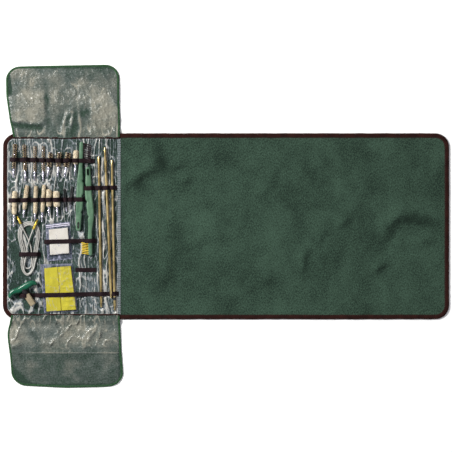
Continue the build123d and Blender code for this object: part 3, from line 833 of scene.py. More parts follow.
def binding_piece(start, end):
    """The tape folded over the mat's edge, a little wavy and puffed, with its row of stitches."""
    shape = Shape()
    edge = at_height(outline(0.0, start, end), 0.0)
    x, y = edge[:, 0], edge[:, 1]
    inward = -1 if start < -MAT_LENGTH + 1 else 1
    side = np.cross(UP, unit(np.gradient(edge, axis=0))) * inward
    wavy = 0.35 * noise(x / 17, y / 17, 4) + 0.15 * noise(x / 4, y / 4, 6)
    section = BINDING_SECTION
    place = edge[:, None] + side[:, None] * (section[None, :, :1] + wavy[:, None, None] * 0.8)
    place[..., 2] = section[None, :, 1] * (1 + 0.05 * noise(x / 5, y / 5, 8))[:, None]
    uv = np.stack(np.meshgrid(run_along(edge), run_along(section), indexing="ij"), -1)
    shape.add(place, tube_faces(*place.shape[:2]), 0, uv)
    stitches(shape, at_height(outline(7.9, start, end, 3.0), 3.72), 2.4, 1.2, 0.3)
    return shape


tape_and_thread = [binding_tape, binding_thread]
binding_left = piece("binding_left", binding_piece(-MAT_LENGTH, SPLIT_X), tape_and_thread, None,
                     ("tool_panel_binding", "fold_strip_1_binding"))
binding_right = piece("binding_right", binding_piece(SPLIT_X, MAT_LENGTH), tape_and_thread, None,
                      ("mat_panel_1_binding", "fold_strip_2_binding", "mat_panel_2_binding"))

# ------------------------------------------------------------------ tools' footprints on the film
ROUND_TOOLS = [f"{kind}_{n + 1}" for kind, count in (
    ("long_bronze_brush", 4), ("short_bronze_brush", 3), ("long_wool_mop", 4), ("short_wool_mop", 3),
    ("slotted_tip", 2), ("rod", 3)) for n in range(count)]
HANDLES = ["utility_brush_1_handle", "utility_brush_2_handle"]
BANDS = ["brush_band", "mop_band", "rod_band", "bag_band", "cable_band", "spare_band", "lower_band"]
lines = {node: Line(node) for node in ROUND_TOOLS + HANDLES + BANDS}


def gap_to_line(line, x, y, wide):
    """Distance from points to the edge of a strip round a line, negative inside."""
    dx, dy = x - line.end[0], y - line.end[1]
    along = np.clip(dx * line.along[0] + dy * line.along[1], 0, line.length)
    return np.hypot(dx - along * line.along[0], dy - along * line.along[1]) - wide


def gap_to_quad(quad, x, y):
    """Distance outside a four-sided outline whose corners go clockwise."""
    found = np.full(np.shape(x), -1e9)
    for a, b in zip(quad, np.roll(quad, -1, 0)):
        way = unit(b - a)
        found = np.maximum(found, (x - a[0]) * -way[1] + (y - a[1]) * way[0])
    return found


def free_film(x, y, reach=5.0):
    """0 where a tool, bag or band presses the film down, 1 well clear of all of them."""
    free = np.ones(np.shape(x))
    for node, line in lines.items():
        wide = 4.3 if node in BANDS else min(line.radius, 5.5)
        free = free * step(gap_to_line(line, x, y, wide), -0.5, reach)
    for node in ("patch_bag", "cloth_bag", "cable_hank"):
        free = free * step(gap_to_quad(corners(node), x, y), -1, reach)
    return free


# ------------------------------------------------------------------ the panel's film
def panel_film():
    """Film that lies pressed down by the tools and stands in pleats and crinkles between them."""
    x = np.arange(-437, -216.4, 0.9)
    t = np.linspace(-1, 1, 241)
    wide = half_width(x, 9.0)[:, None]
    gx, gy = np.broadcast_arrays(x[:, None], wide * t[None, :])
    bend = 9 * fbm(gx / 60, gy / 70, 21, 3)
    pleats = ridged((gx + bend) / 11, (gy + bend) / 90, 2, 1)
    fine = ridged((gx + 0.6 * bend) / 6, (gy - bend) / 42, 7, 1)
    cross = ridged((gx + gy * 0.6) / 20, (gy - gx * 0.5) / 24, 13, 2)
    long_pleats = ridged(gx / 8, gy / 190, 44, 1)
    free = free_film(gx, gy)
    # Painted highlight in a line beside each round tool
    painted_highlight_rims = np.zeros_like(gx)
    for node in ROUND_TOOLS:
        away = gap_to_line(lines[node], gx, gy, min(lines[node].radius, 5.5))
        painted_highlight_rims = np.maximum(painted_highlight_rims, hill(away, 3.6 + 1.2 * noise(gy / 14, gx / 9, 3), 1.3))
    lift = 2.6 * pleats**2 + 1.3 * fine**2 + 1.1 * cross**2
    edge = step(wide * (1 - np.abs(t[None, :])), 0, 5) * window(gx, -437, -432, -221, -217)
    height = FILM_TOP + 0.02 + lift * free * edge

    # How milky the film is, as painted highlight: on its crests, round the tools and along its edge
    near_edge = fall(np.minimum(wide * (1 - np.abs(t[None, :])), gx + 437), 0.5, 4.5)
    tiny = ridged((gx - 0.5 * bend) / 4.2, (gy + gx * 0.8) / 15, 91, 1)
    tone_and_painted_light = 0.85 * step(pleats, 0.72, 0.95) + 0.65 * step(fine, 0.72, 0.95) + 0.4 * step(cross, 0.68, 0.9)
    tone_and_painted_light += 0.5 * step(tiny, 0.7, 0.95) * (0.35 + step(fbm(gx / 30, gy / 30, 92, 2), -0.2, 0.4))
    tone_and_painted_light += 0.6 * painted_highlight_rims * (0.6 + noise(gx / 11, gy / 17, 15)) + 0.5 * near_edge - 0.02
    tone_and_painted_light += 0.30 * fbm(gx / 26, gy / 34, 31, 3)
    # Painted highlight and painted shade by region: beside the rods, top left, low right, under the spare
    # band, and the swathe at lower left
    tone_and_painted_light += step(gx, -268, -256) * (0.5 * step(long_pleats, 0.6, 0.95) - 0.03)
    tone_and_painted_light += 0.18 * step(gy, 70, 150) * fall(gx, -330, -290)
    tone_and_painted_light += 0.1 * fall(gy, -90, 0) * step(gx, -320, -290)
    tone_and_painted_light += 0.3 * window(gx, -292, -280, -262, -256) * fall(gy, -112, -88)
    corner = fall(gx, -388, -362) * fall(gy, -20, 20)
    swathe = ridged((gx + 0.7 * gy) / 21, (gy - gx) / 60, 52, 1)
    tone_and_painted_light += corner * (0.52 * step(swathe, 0.66, 0.92) - 0.06) - 0.3 * hill(gx, -420, 12) * hill(gy, -50, 40)
    shape = Shape()
    shape.add(np.stack([gx, gy, height], -1), grid_faces(*gx.shape), 0, tone_and_painted_light=tone_and_painted_light)
    return shape


film = piece("panel_film_sheet", panel_film(), [panel_clear], "tool_panel", "panel_film", 180)

# The stitched strip along the film's right edge
SEAM_SECTION = ((-3.0, -0.2), (-2.8, 0.25), (-1, 0.45), (0, 0.25), (1, 0.45), (2.8, 0.25), (3.0, -0.2))
seam = Shape()
seam_y = np.linspace(-176, 176, 177)
seam_path = np.stack([seam_y * 0 - 213.4, seam_y, 3.45 + 0.12 * noise(seam_y / 6, 0, 2)], -1)
swept(seam, seam_path, SEAM_SECTION)
for offset in (-1.9, 1.9):
    stitches(seam, seam_path + (offset, 0, 0.4), 2.6, 1.9, 0.42)
piece("film_seam_tape", seam, [seam_tape, pale_thread], "tool_panel", "film_seam")

# ------------------------------------------------------------------ flaps
# Each flap's side, noise seed, and rows of (distance from the middle line, x) down its left and right edges
# and of (x, distance) along its far end
FLAPS = {
    "upper_flap": {
        "side": 1, "seed": 40,
        "left": ((177, -424.5), (188, -426.5), (205, -431), (230, -435), (262, -439.5), (300, -440),
                 (323, -438.5)),
        "right": ((177, -212), (205, -211.5), (250, -213), (300, -213.5), (323, -214)),
        "far": ((-440, 319), (-380, 320.5), (-300, 322), (-214, 323.5)),
    },
    "lower_flap": {
        "side": -1, "seed": 60,
        "left": ((177, -428.5), (190, -431), (205, -435.5), (218, -437), (235, -435), (260, -431.5),
                 (290, -429.5), (323, -427)),
        "right": ((177, -212), (215, -210.5), (250, -209), (280, -206.5), (300, -205.5), (323, -207)),
        "far": ((-440, 317), (-380, 320), (-320, 323), (-250, 321.5), (-206, 318.5)),
    },
}
FLAP_ROOT, FLAP_END = 176.5, 321.0
FLAP_CORNER = 27.0
EDGING_SECTION = ((2.3, 0.3), (1.7, 1.0), (0.3, 1.25), (-1.4, 1.1), (-2.3, 0.4), (-2.4, -0.4), (-1.7, -0.9),
                  (1.8, -0.9))
FLAP_THICK = 1.5


def flap_grid(facts, inset, columns=121, rows=104):
    """x and distance from the middle line over a flap, pulled in by inset on its free sides."""
    u = np.linspace(0, 1, columns)
    t = 1 - (1 - np.linspace(0, 1, rows)) ** 1.25
    mean_far = FLAP_END - inset
    v = FLAP_ROOT + (mean_far - FLAP_ROOT) * t[:, None]
    corner = FLAP_CORNER - inset
    into = np.clip(corner - (mean_far - v), 0, corner)
    shrink = corner - np.sqrt(np.maximum(corner**2 - into**2, 0))
    left = smooth_line(facts["left"], v) + inset + shrink
    right = smooth_line(facts["right"], v) - inset - shrink
    x = left + (right - left) * u[None, :]
    far = smooth_line(facts["far"], x) - inset
    v = v + (far - mean_far) * step(v, 240, FLAP_END)
    return x, v


# Soft folds that run away from the root. Each row is size, lean, the v it leans about, x, width, v, reach
FOLDS = {
    "upper_flap": (
        (1.7, 0.06, 240, -372, 13, 240, 32), (-1.5, 0.06, 240, -357, 4, 245, 34),
        (1.5, -0.5, 215, -318, 5, 216, 17), (1.4, 0.1, 215, -303, 4.5, 210, 15),
        (1.3, -0.22, 210, -323, 3.5, 206, 14),
        (1.3, -0.1, 210, -309, 3.5, 206, 14), (1.3, 0.12, 210, -292, 3.5, 206, 14),
        (1.3, 0.1, 210, -262, 3.5, 206, 14), (1.3, -0.1, 210, -240, 3.5, 206, 14)),
    "lower_flap": (
        (1.5, -0.7, 215, -392, 6, 212, 18), (1.5, 0.25, 210, -252, 5, 211, 18),
        (0.8, -0.5, 262, -347, 2.5, 264, 10)),
}
# The same for how milky the film is: painted highlight on ridges and painted shade in creases
PAINTED_LIGHT_FOLDS = {
    "upper_flap": (
        (-0.28, 0.06, 240, -357, 6, 243, 36), (-0.22, 0, 0, -310, 26, 205, 24),
        (0.5, -0.22, 210, -323, 2.6, 211, 17), (0.5, -0.1, 210, -309, 2.6, 211, 17),
        (0.5, 0.12, 210, -292, 2.6, 211, 17)),
    "lower_flap": ((-0.22, -0.7, 215, -386, 6, 212, 22),),
}


def folds(rows, x, v):
    return sum(size * hill(x + lean * (v - pivot), middle, width) * hill(v, centre, reach)
               for size, lean, pivot, middle, width, centre, reach in rows)


def crumples(x, v, seed):
    bend = 6 * fbm(x / 50, v / 50, seed + 6, 2)
    return ridged((x + 0.5 * v + bend) / 15, (v - 0.4 * x) / 27, seed + 11, 2)


def flap_height(label, x, v):
    """How a flap's upper face rises: off the panel's edge, then in soft folds to its far end."""
    seed = FLAPS[label]["seed"]
    # A shelf over the binding, then a slope down to the table
    base = 1.75 + 3.35 * fall(v, 187, 200)
    pucker = ridged(x / 21, v / 60, seed, 2) - 0.45
    soft = fbm(x / 48, v / 36, seed + 3, 3)
    rim = np.minimum(step(x, -438, -425), fall(x, -222, -209)) * fall(v, 300, 319)
    lift = base + hill(v, 193, 17) * (2.0 * pucker + 0.4) * step(v, 178, 184)
    small = crumples(x, v, seed)
    folded = 2.4 * step(v, 192, 215) * (0.5 + soft) + folds(FOLDS[label], x, v)
    if label == "upper_flap":
        right = step(x, -273, -268) * fall(x + 0.7 * (v - 240), -246, -214)
        folded += 1.5 * small**2 + 1.6 * right * hill(v, 235, 26)
        left = v + 4 * noise(x / 14, 0, 3) + 0.1 * (x + 400)
        folded += 2.4 * hill(left, 208, 4) * fall(x, -375, -355)
        lift = lift + folded * rim
    else:
        folded += (0.5 + 2.8 * fall(v, 232, 250)) * small**2 + 0.8 * hill(v, 252, 2.5)
        left = v + 7 * noise(x / 40, 0, 3) + 0.1 * (x + 400)
        folded += 1.4 * hill(left, 236, 5) * fall(x, -350, -320)
        lift = lift + folded * rim
        # Flatter where the folded flap comes down on the T-handle's socket
        calm = window(x, -417, -403, -377, -363) * window(v, 207, 221, 254, 268)
        lift = lift * (1 - 0.85 * calm) + 2.0 * 0.85 * calm
    return np.maximum(lift, 1.6 + 3.1 * fall(v, 187, 199))


def flap_milk_and_painted_light(label, x, v):
    """How milky a flap's film is, with painted highlight on its crests, pockets and the lower root, painted
    shade at the root and in creases, and clear along its rim.
    """
    seed = FLAPS[label]["seed"]
    mottle = fbm(x / 15, v / 15, seed + 8, 4)
    streak = ridged((x + 5 * mottle) / 16, v / 40, seed + 9, 3)
    root = fall(v, 186, 212)
    tone_and_painted_light = folds(PAINTED_LIGHT_FOLDS[label], x, v)
    if label == "upper_flap":
        tone_and_painted_light += 0.60 + 0.18 * mottle + 0.22 * step(streak, 0.62, 0.9) + 0.14 * root
        tone_and_painted_light += root * (0.5 * step(ridged(x / 10, v / 46, 72, 1), 0.6, 0.95) - 0.175)
        tone_and_painted_light -= root * 0.08 * (0.5 + ridged(x / 17, v / 30, 71, 2))
        # Painted highlight on the left pocket and the right pocket, and painted shade on the felt above,
        # below and between them
        tone_and_painted_light += 0.13 * window(x, -428, -410, -366, -361) * window(v, 200, 212, 262, 278)
        tone_and_painted_light += 0.22 * step(x, -272, -266) * fall(x + 0.7 * (v - 240), -222, -214) * hill(v, 235, 32)
        tone_and_painted_light -= 0.14 * step(v + 0.25 * x, 205, 245)
        tone_and_painted_light -= 0.45 * hill(v + 0.12 * (x + 400), 200, 6) * fall(x, -385, -350)
        tone_and_painted_light -= 0.3 * hill(v - 0.25 * (x + 290), 226, 9) * hill(x, -296, 34)
        tone_and_painted_light -= 0.75 * step(v, 255, 275) * fall(x + 0.12 * (v - 262), -429, -425)
    else:
        # Painted reflection: the film near the root is brighter and more crumpled
        near = fall(v + 5 * mottle, 222, 258)
        crests = step(crumples(x, v, seed), 0.6, 0.9)
        tone_and_painted_light += 0.43 + 0.16 * mottle + near * (0.27 + 0.3 * step(streak, 0.55, 0.9) + 0.45 * (crests - 0.08))
        tone_and_painted_light += root * (0.4 * step(ridged(x / 10, v / 46, 73, 1), 0.6, 0.95) - 0.14)
        # A painted highlight along the crease at v 252
        tone_and_painted_light += 0.28 * hill(v, 252.5, 1.2) * step(x + 20 * noise(x / 16, 0, 8), -410, -380)
        tone_and_painted_light -= 0.2 * fall(v, 178, 190) + 0.5 * step(v - 0.9 * (x + 438), 262, 282)
    rim = fall(np.minimum(np.minimum(x + 440, -208 - x), 322 - v), 5, 9)
    return 0.5 + 1.5 * (tone_and_painted_light - 0.55) - 0.3 * rim


def flap_pieces(label):
    """A flap's felt, its film and its edging, bending from the tool panel on to the flap."""
    facts = FLAPS[label]
    side, seed = facts["side"], facts["seed"]
    x, v = flap_grid(facts, 1.2)
    top = flap_height(label, x, v)
    shape = Shape()
    layers = [np.stack([x, side * v, z], -1) for z in (top, np.maximum(top - FLAP_THICK, 0.05))]
    shape.add(layers, slab_faces(*x.shape))
    cloth = piece(f"{label}_felt", shape, [flap_felt], None, (label, f"{label}_gusset"), 60)

    x, v = flap_grid(facts, 4.2, 171, 140)
    crinkle = 0.6 * ridged(x / 8, v / 8, seed + 2, 2) ** 2 + 0.5 * ridged(x / 4.4, v / 4.4, seed + 5, 1) ** 2
    shape = Shape()
    place = np.stack([x, side * v, flap_height(label, x, v) + 0.15 + crinkle * step(v, 178, 186)], -1)
    shape.add(place, grid_faces(*x.shape), 0, tone_and_painted_light=flap_milk_and_painted_light(label, x, v))
    sheet = piece(f"{label}_film_sheet", shape, [flap_clear], None, f"{label}_film", 180)

    # Edging: a rolled strip of felt down both sides and round the far end
    shape = Shape()
    x, v = flap_grid(facts, 2.4)
    edge = np.concatenate([np.stack([x[1:, 0], v[1:, 0]], -1), np.stack([x[-1, 1:-1], v[-1, 1:-1]], -1),
                           np.stack([x[:0:-1, -1], v[:0:-1, -1]], -1)])
    keep = np.concatenate([[True], np.linalg.norm(np.diff(edge, axis=0), axis=1) > 0.4])
    edge = edge[keep]
    run = run_along(edge)
    even = np.arange(0, run[-1], 1.8)
    edge = np.stack([np.interp(even, run, edge[:, 0]), np.interp(even, run, edge[:, 1])], -1)
    level = flap_height(label, edge[:, 0], edge[:, 1])
    path = np.stack([edge[:, 0], side * edge[:, 1], np.maximum(level - 0.6, 1.0)], -1)
    swept(shape, path, EDGING_SECTION)
    stitches(shape, path + (0, 0, 1.25), 2.2, 1.4, 0.22)
    edging = piece(f"{label}_edging_roll", shape, [edging_felt, edging_felt], None,
                   f"{label}_edging")
    for part in (cloth, sheet, edging):
        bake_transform(part)


# The tape over each flap's gathered root
roots = Shape()
for side, left in ((1, -427), (-1, -431)):
    run = np.arange(left, -211, 2.0)
    path = np.stack([run, side * (176.6 + 0.5 * noise(run / 20, 0, 3)), 5.1 + 0.3 * noise(run / 9, 0, 5)], -1)
    swept(roots, path, [(1.6, -0.9), (1.5, 0.2), (0.8, 0.65), (-0.8, 0.65), (-1.5, 0.2), (-1.6, -0.9)])
    stitches(roots, path + (0, 0, 0.62), 2.2, 1.1, 0.3)
piece("tool_panel_root_tapes", roots, tape_and_thread, "tool_panel")
flap_pieces("upper_flap")
flap_pieces("lower_flap")

for part in (felt_left, binding_left):
    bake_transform(part)
for part in (felt_right, binding_right):
    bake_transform(part)


# ------------------------------------------------------------------ elastic bands
def hull(place):
    """The taut line over a set of (x, z) points, from the first to the last."""
    kept = []
    for p in sorted(map(tuple, place)):
        while len(kept) > 1:
            (ax, az), (bx, bz) = kept[-2], kept[-1]
            if (bx - ax) * (p[1] - az) - (bz - az) * (p[0] - ax) < 0:
                break
            kept.pop()
        kept.append(p)
    return kept


def elastic(node, held):
    """A ribbed elastic band, stretched over the tools it holds and sewn down between them."""
    line = lines[node]
    start, stop = (line.end, line.top) if line.end[0] < line.top[0] else (line.top, line.end)
    middle_y = (start[1] + stop[1]) / 2
    base = FILM_TOP + 0.5
    arches, sewn = [], [start[0]]
    for tool in held:
        low, high, top = span(tool, middle_y)
        if tool in ROUND_TOOLS:
            radius = (high - low) / 2 + 0.75
            turn = np.linspace(0, PI, 15)
            centre = ((low + high) / 2, top - (high - low) / 2)
            arch = [(centre[0] + radius * math.cos(a), centre[1] + radius * math.sin(a)) for a in turn]
        else:
            arch = [(low - 0.5, top - 1.2), (low + 0.9, top + 0.75), (high - 0.9, top + 0.75),
                    (high + 0.5, top - 1.2)]
        arches.append((low, high, arch))
    arches.sort()
    sewn += [(before[1] + after[0]) / 2 for before, after in zip(arches, arches[1:])] + [stop[0]]
    path = []
    for a, b in zip(sewn, sewn[1:]):
        inside = [p for low, high, arch in arches if a < (low + high) / 2 < b for p in arch]
        inside = [(min(max(x, a + 0.2), b - 0.2), z) for x, z in inside]
        foot = 0.5 if b - a > 6 else 0.1
        path += hull([(a, base), (a + foot, base), (b - foot, base), (b, base)] + inside)
    path = np.array(path)
    run = run_along(path)
    even = np.linspace(0, run[-1], int(run[-1] / 0.7) + 2)
    x, z = (soften(np.interp(even, run, path[:, k]), 2) for k in range(2))
    slope = (stop[1] - start[1]) / (stop[0] - start[0])
    y = start[1] + slope * (x - start[0]) + 0.25 * noise(x / 14, 0, 6)
    across = unit(np.array([-slope, 1.0, 0.0]))
    edge = np.linspace(-4.3, 4.3, 23)
    upper = [(e, 0.42 + 0.13 * abs(math.sin(e * PI / 1.43)) - (0.2 if abs(e) > 4.2 else 0)) for e in edge]
    lower = [(e, -0.42) for e in (4.1, 1.4, -1.4, -4.1)]
    shape = Shape()
    swept(shape, np.stack([x, y, z], -1), upper + lower, 0, across)
    for place in sewn:
        place = min(max(place, start[0] + 1.3), stop[0] - 1.3)
        for offset in (-0.55, 0.55):
            where = place + offset, start[1] + slope * (place - start[0]), np.interp(place, x, z) + 0.5
            stitches(shape, np.array(where) + np.linspace(-4.0, 4.0, 9)[:, None] * across, 1.2, 0.3, 0.24)
    piece(f"{node}_strap", shape, [elastic_weave, elastic_thread], "tool_panel", node)


elastic("brush_band", ROUND_TOOLS[:7] + ["short_wool_mop_3", "utility_brush_1_handle"])
elastic("mop_band", ROUND_TOOLS[7:13] + ["slotted_tip_1", "slotted_tip_2", "utility_brush_1_handle"])
elastic("rod_band", ["rod_1", "rod_2", "rod_3", "utility_brush_2_handle"])
elastic("bag_band", ["patch_bag", "utility_brush_2_handle"])
elastic("cable_band", ["cable_hank"])
elastic("spare_band", [])
elastic("lower_band", ["handle_collar", "cloth_bag", "rod_1", "rod_3"])


# ------------------------------------------------------------------ brushes and mops
# The length of a threaded stud, its radius, and a ferrule's radius
THREAD, STUD = 8.0, 1.6
SHANK = 2.1


def wire_and_shank(shape, line, head_start):
    """The threaded stud, crimped ferrule and twisted wire that brushes and mops share."""
    threaded(shape, line, 0, THREAD, STUD, slot=2)
    stop = head_start - 0.4
    crimp = THREAD + (stop - THREAD) * 0.55
    lathe(shape, line, [(THREAD - 0.6, 1.2), (THREAD, STUD), (THREAD + 0.3, SHANK), (crimp - 1.6, SHANK),
                        (crimp - 1.0, 1.75), (crimp, 1.68), (crimp + 1.0, 1.75), (crimp + 1.6, SHANK),
                        (stop - 0.8, SHANK), (stop - 0.3, 1.9), (stop, 1.3)], 2, 22)
    along = np.linspace(stop - 1, line.length + 0.6, int((line.length - stop) / 0.7))
    lathe(shape, line, np.stack([along, along * 0 + 0.85], -1), 1, 10,
          lambda distance, angle, base: base * (1 + 0.28 * np.cos(2 * angle - 2 * PI * distance / 3.1)))


def bristles(shape, root, tip, width):
    """Fine bristles cut off where they would reach into the film."""
    tip[:, 2] = np.maximum(tip[:, 2], FLOOR + 0.02)
    spikes(shape, root, tip, width, 0.12)


def bronze_brush(node, head, pitch, seed):
    """Two rows of bronze bristles wound round the wire, over a dark core that is painted shade between them.
    """
    line = lines[node]
    random = np.random.default_rng(seed)
    start = line.length - head
    shape = Shape()
    wire_and_shank(shape, line, start)
    along = np.repeat(np.arange(start + 0.5, line.length - 0.4, 0.085), 2)
    angle = PI * along / pitch + np.tile([0, PI], len(along) // 2) + random.normal(0, 0.17, len(along))
    reach = line.radius * random.uniform(0.93, 1.03, len(along))
    reach = reach * (1 - 0.18 * step(along, line.length - 2.5, line.length))
    lean = random.normal(0, 0.32, len(along))
    out = line.out(angle)
    bristles(shape, line.at(along) + out * 0.6, line.at(along + lean) + out * reach[:, None], 0.17)
    # A dark core under the bristles: painted shade deep inside the head, banded along the winding
    core = np.linspace(start, line.length - 0.2, 70)
    lathe(shape, line, np.stack([core, core * 0 + line.radius * 0.5], -1), 3, 16,
          lambda distance, a, base: base * (0.75 + 0.35 * np.cos(2 * a - 2 * PI * distance / pitch)))
    piece(f"{node}_wires", shape, [bronze, steel, steel, painted_shade_core], node, node)


for n, head in enumerate((49.5, 53, 51, 51)):
    bronze_brush(f"long_bronze_brush_{n + 1}", head, 4.1, 100 + n)
for n, head in enumerate((30, 29, 29)):
    bronze_brush(f"short_bronze_brush_{n + 1}", head, 4.4, 110 + n)


def wool_mop(node, head, seed):
    """A lumpy wool head with loose fibres standing off it."""
    line = lines[node]
    random = np.random.default_rng(seed)
    start, big = line.length - head, line.radius
    shape = Shape()
    wire_and_shank(shape, line, start)
    along = start + head * (1 - np.cos(np.linspace(0, PI, 64))) / 2

    def ends(along):
        return np.sqrt(np.clip(1 - (np.abs(along - start - head / 2) / (head / 2)) ** 11, 0.02, 1))

    def lumps(distance, angle, base):
        x = distance / 3.4
        y = angle / (2 * PI) * 7
        wrap = noise(x, y, seed) * (1 - angle / (2 * PI)) + noise(x, y - 7, seed) * angle / (2 * PI)
        fine = noise(x * 2.4, y * 2.2, seed + 3)
        return base * (0.90 + 0.11 * wrap + 0.05 * fine)

    lathe(shape, line, np.stack([along, ends(along) * (big - 0.5)], -1), 0, 30, lumps)
    count = int(head * 26)
    along = start + head * random.uniform(0.01, 0.99, count)
    angle = random.uniform(0, 2 * PI, count)
    out = line.out(angle)
    root = line.at(along) + out * (ends(along) * (big - 0.9))[:, None]
    drift = random.normal(0, 0.55, (count, 2))
    tip = root + out * random.uniform(0.7, 1.35, count)[:, None]
    tip = tip + np.cross(line.along, out) * drift[:, :1] + line.along * drift[:, 1:]
    bristles(shape, root, tip, 0.34)
    piece(f"{node}_pile", shape, [wool, steel, steel], node, node)


for n, head in enumerate((47.5, 49, 56.5, 56)):
    wool_mop(f"long_wool_mop_{n + 1}", head, 120 + n)
for n, head in enumerate((35, 32, 28)):
    wool_mop(f"short_wool_mop_{n + 1}", head, 130 + n)

# ------------------------------------------------------------------ slotted tips
for node in ("slotted_tip_1", "slotted_tip_2"):
    line = lines[node]
    shape = Shape()
    threaded(shape, line, 0, THREAD, STUD, slot=1)
    eye = line.length - 23
    lathe(shape, line, [(THREAD - 0.5, 1.2), (THREAD, 2.0), (THREAD + 0.4, 2.25), (eye - 5, 2.25),
                        (eye - 3.5, 2.0), (eye - 2, 2.2), (eye, 2.2), (eye + 1.4, 1.6), (eye + 2, 0.8)],
          segments=22)
    # A narrow loop of moulded rod, open to the stem's side
    turn = np.linspace(0, PI, 13)
    reach, wide = 20.25, 1.35
    legs = np.linspace(0, reach, 12)
    loop = np.stack([np.concatenate([legs, reach + wide * np.sin(turn), legs[::-1]]) + eye + 0.5,
                     np.concatenate([legs * 0 - wide, -wide * np.cos(turn), legs * 0 + wide])], -1)
    swept(shape, line.at(loop[:, 0], loop[:, 1]), circle(0.95, 12) * (1, 1.35), 0)
    piece(f"{node}_moulding", shape, [black_moulded, steel], node, node)

# ------------------------------------------------------------------ rods
ROD = 2.4
for node in ("rod_1", "rod_2", "rod_3"):
    line = lines[node]
    shape = Shape()
    threaded(shape, line, 0, THREAD, 1.7)
    long = line.length
    groove = []
    for place in (19.0, 21.4, long - 14.6, long - 12.2):
        groove += [(place - 0.5, ROD), (place - 0.3, 2.12), (place + 0.3, 2.12), (place + 0.5, ROD)]
    lathe(shape, line, [(7.4, 1.2), (7.6, 1.9), (8.0, 2.2), (8.5, ROD)] + groove +
          [(long - 0.5, ROD), (long, 2.2), (long, 1.75), (long - 9, 1.7)], 0, 28)
    if node == "rod_3":
        lathe(shape, line, [(20.2, 2.3), (20.4, 2.62), (26.0, 2.62), (26.2, 2.3)], 1, 28)
    piece(f"{node}_turned", shape, [brass_rod, black_moulded], node, node)

# ------------------------------------------------------------------ utility brushes
# Rows of (distance from the tail, half width), and where the finger notches are
HANDLE_WIDTHS = ((0, 4.8), (14, 5.1), (26, 5.8), (38, 6.4), (60, 6.6), (86, 6.5), (100, 6.2), (112, 5.3),
                 (122, 4.3), (131, 3.7), (136, 4.6), (140, 4.4), (150, 4.2), (170, 4.1), (178, 3.7))
NOTCHES = (38, 70, 100)
TAIL_ROUND, TOP_ROUND = 3.5, 2.5
BOW_START, BOW_LENGTH = 48, 94
TUFT = 24


def handle_shape(line, side, bow):
    """A moulded handle with finger bumps on one side and a shallow panel sunk into its grip."""
    long = line.length
    tail = TAIL_ROUND * (1 - np.cos(np.linspace(0, PI / 2, 9)))[:-1]
    top = long - TOP_ROUND * (1 - np.sin(np.linspace(0, PI / 2, 8)))
    t = np.concatenate([tail, np.arange(TAIL_ROUND, long - TOP_ROUND, 1.0), top])
    into_tail = np.maximum(TAIL_ROUND - t, 0) / TAIL_ROUND
    into_top = np.maximum(t - long + TOP_ROUND, 0) / TOP_ROUND
    cap = np.sqrt(np.clip(1 - into_tail**2, 0.03, 1) * np.clip(1 - into_top**2, 0.12, 1))
    wide = smooth_line(HANDLE_WIDTHS, t)
    bumps = 1.1 * window(t, 28, 42, 98, 112) - sum(2.4 * hill(t, at, 3.0) for at in NOTCHES)
    deep = 3.5 * (0.94 + 0.06 * step(t, 30, 50) - 0.10 * hill(t, 124, 14))
    cos, sin = squarish(28, 2 / 3)
    on_side = (wide * cap)[:, None] * cos + np.where(cos * side > 0, bumps[:, None], 0) * cos
    sunk = window(t, 34, 38, 92, 98)
    lift = (deep * (0.45 + 0.55 * cap))[:, None] * sin
    lift = lift - 0.55 * sunk[:, None] * np.where((sin > 0.85) & (np.abs(cos) < 0.55), 1, 0)
    arc = bow * np.sin(np.clip((t - BOW_START) / BOW_LENGTH, 0, 1) * PI) ** 2 * side
    place = line.at(t[:, None] + 0 * cos, on_side + arc[:, None], lift)
    shape = Shape()
    shape.add(place, tube_faces(*place.shape[:2]))
    return shape


def hang_slot(line):
    """What the hang slot cuts away: a long hole with round ends, wider at both faces."""
    turn = np.linspace(-PI / 2, PI / 2, 11)
    x = np.concatenate([15.6 + 2.1 * np.cos(turn), 6.6 - 2.1 * np.cos(turn)])
    y = np.concatenate([2.1 * np.sin(turn), -2.1 * np.sin(turn)])
    rings = [line.at(x, y * grow, up) for grow, up in ((1.5, 4.4), (1.0, 2.7), (1.0, -2.7), (1.5, -4.4))]
    shape = Shape()
    shape.add(rings, tube_faces(len(rings), len(x)))
    return shape


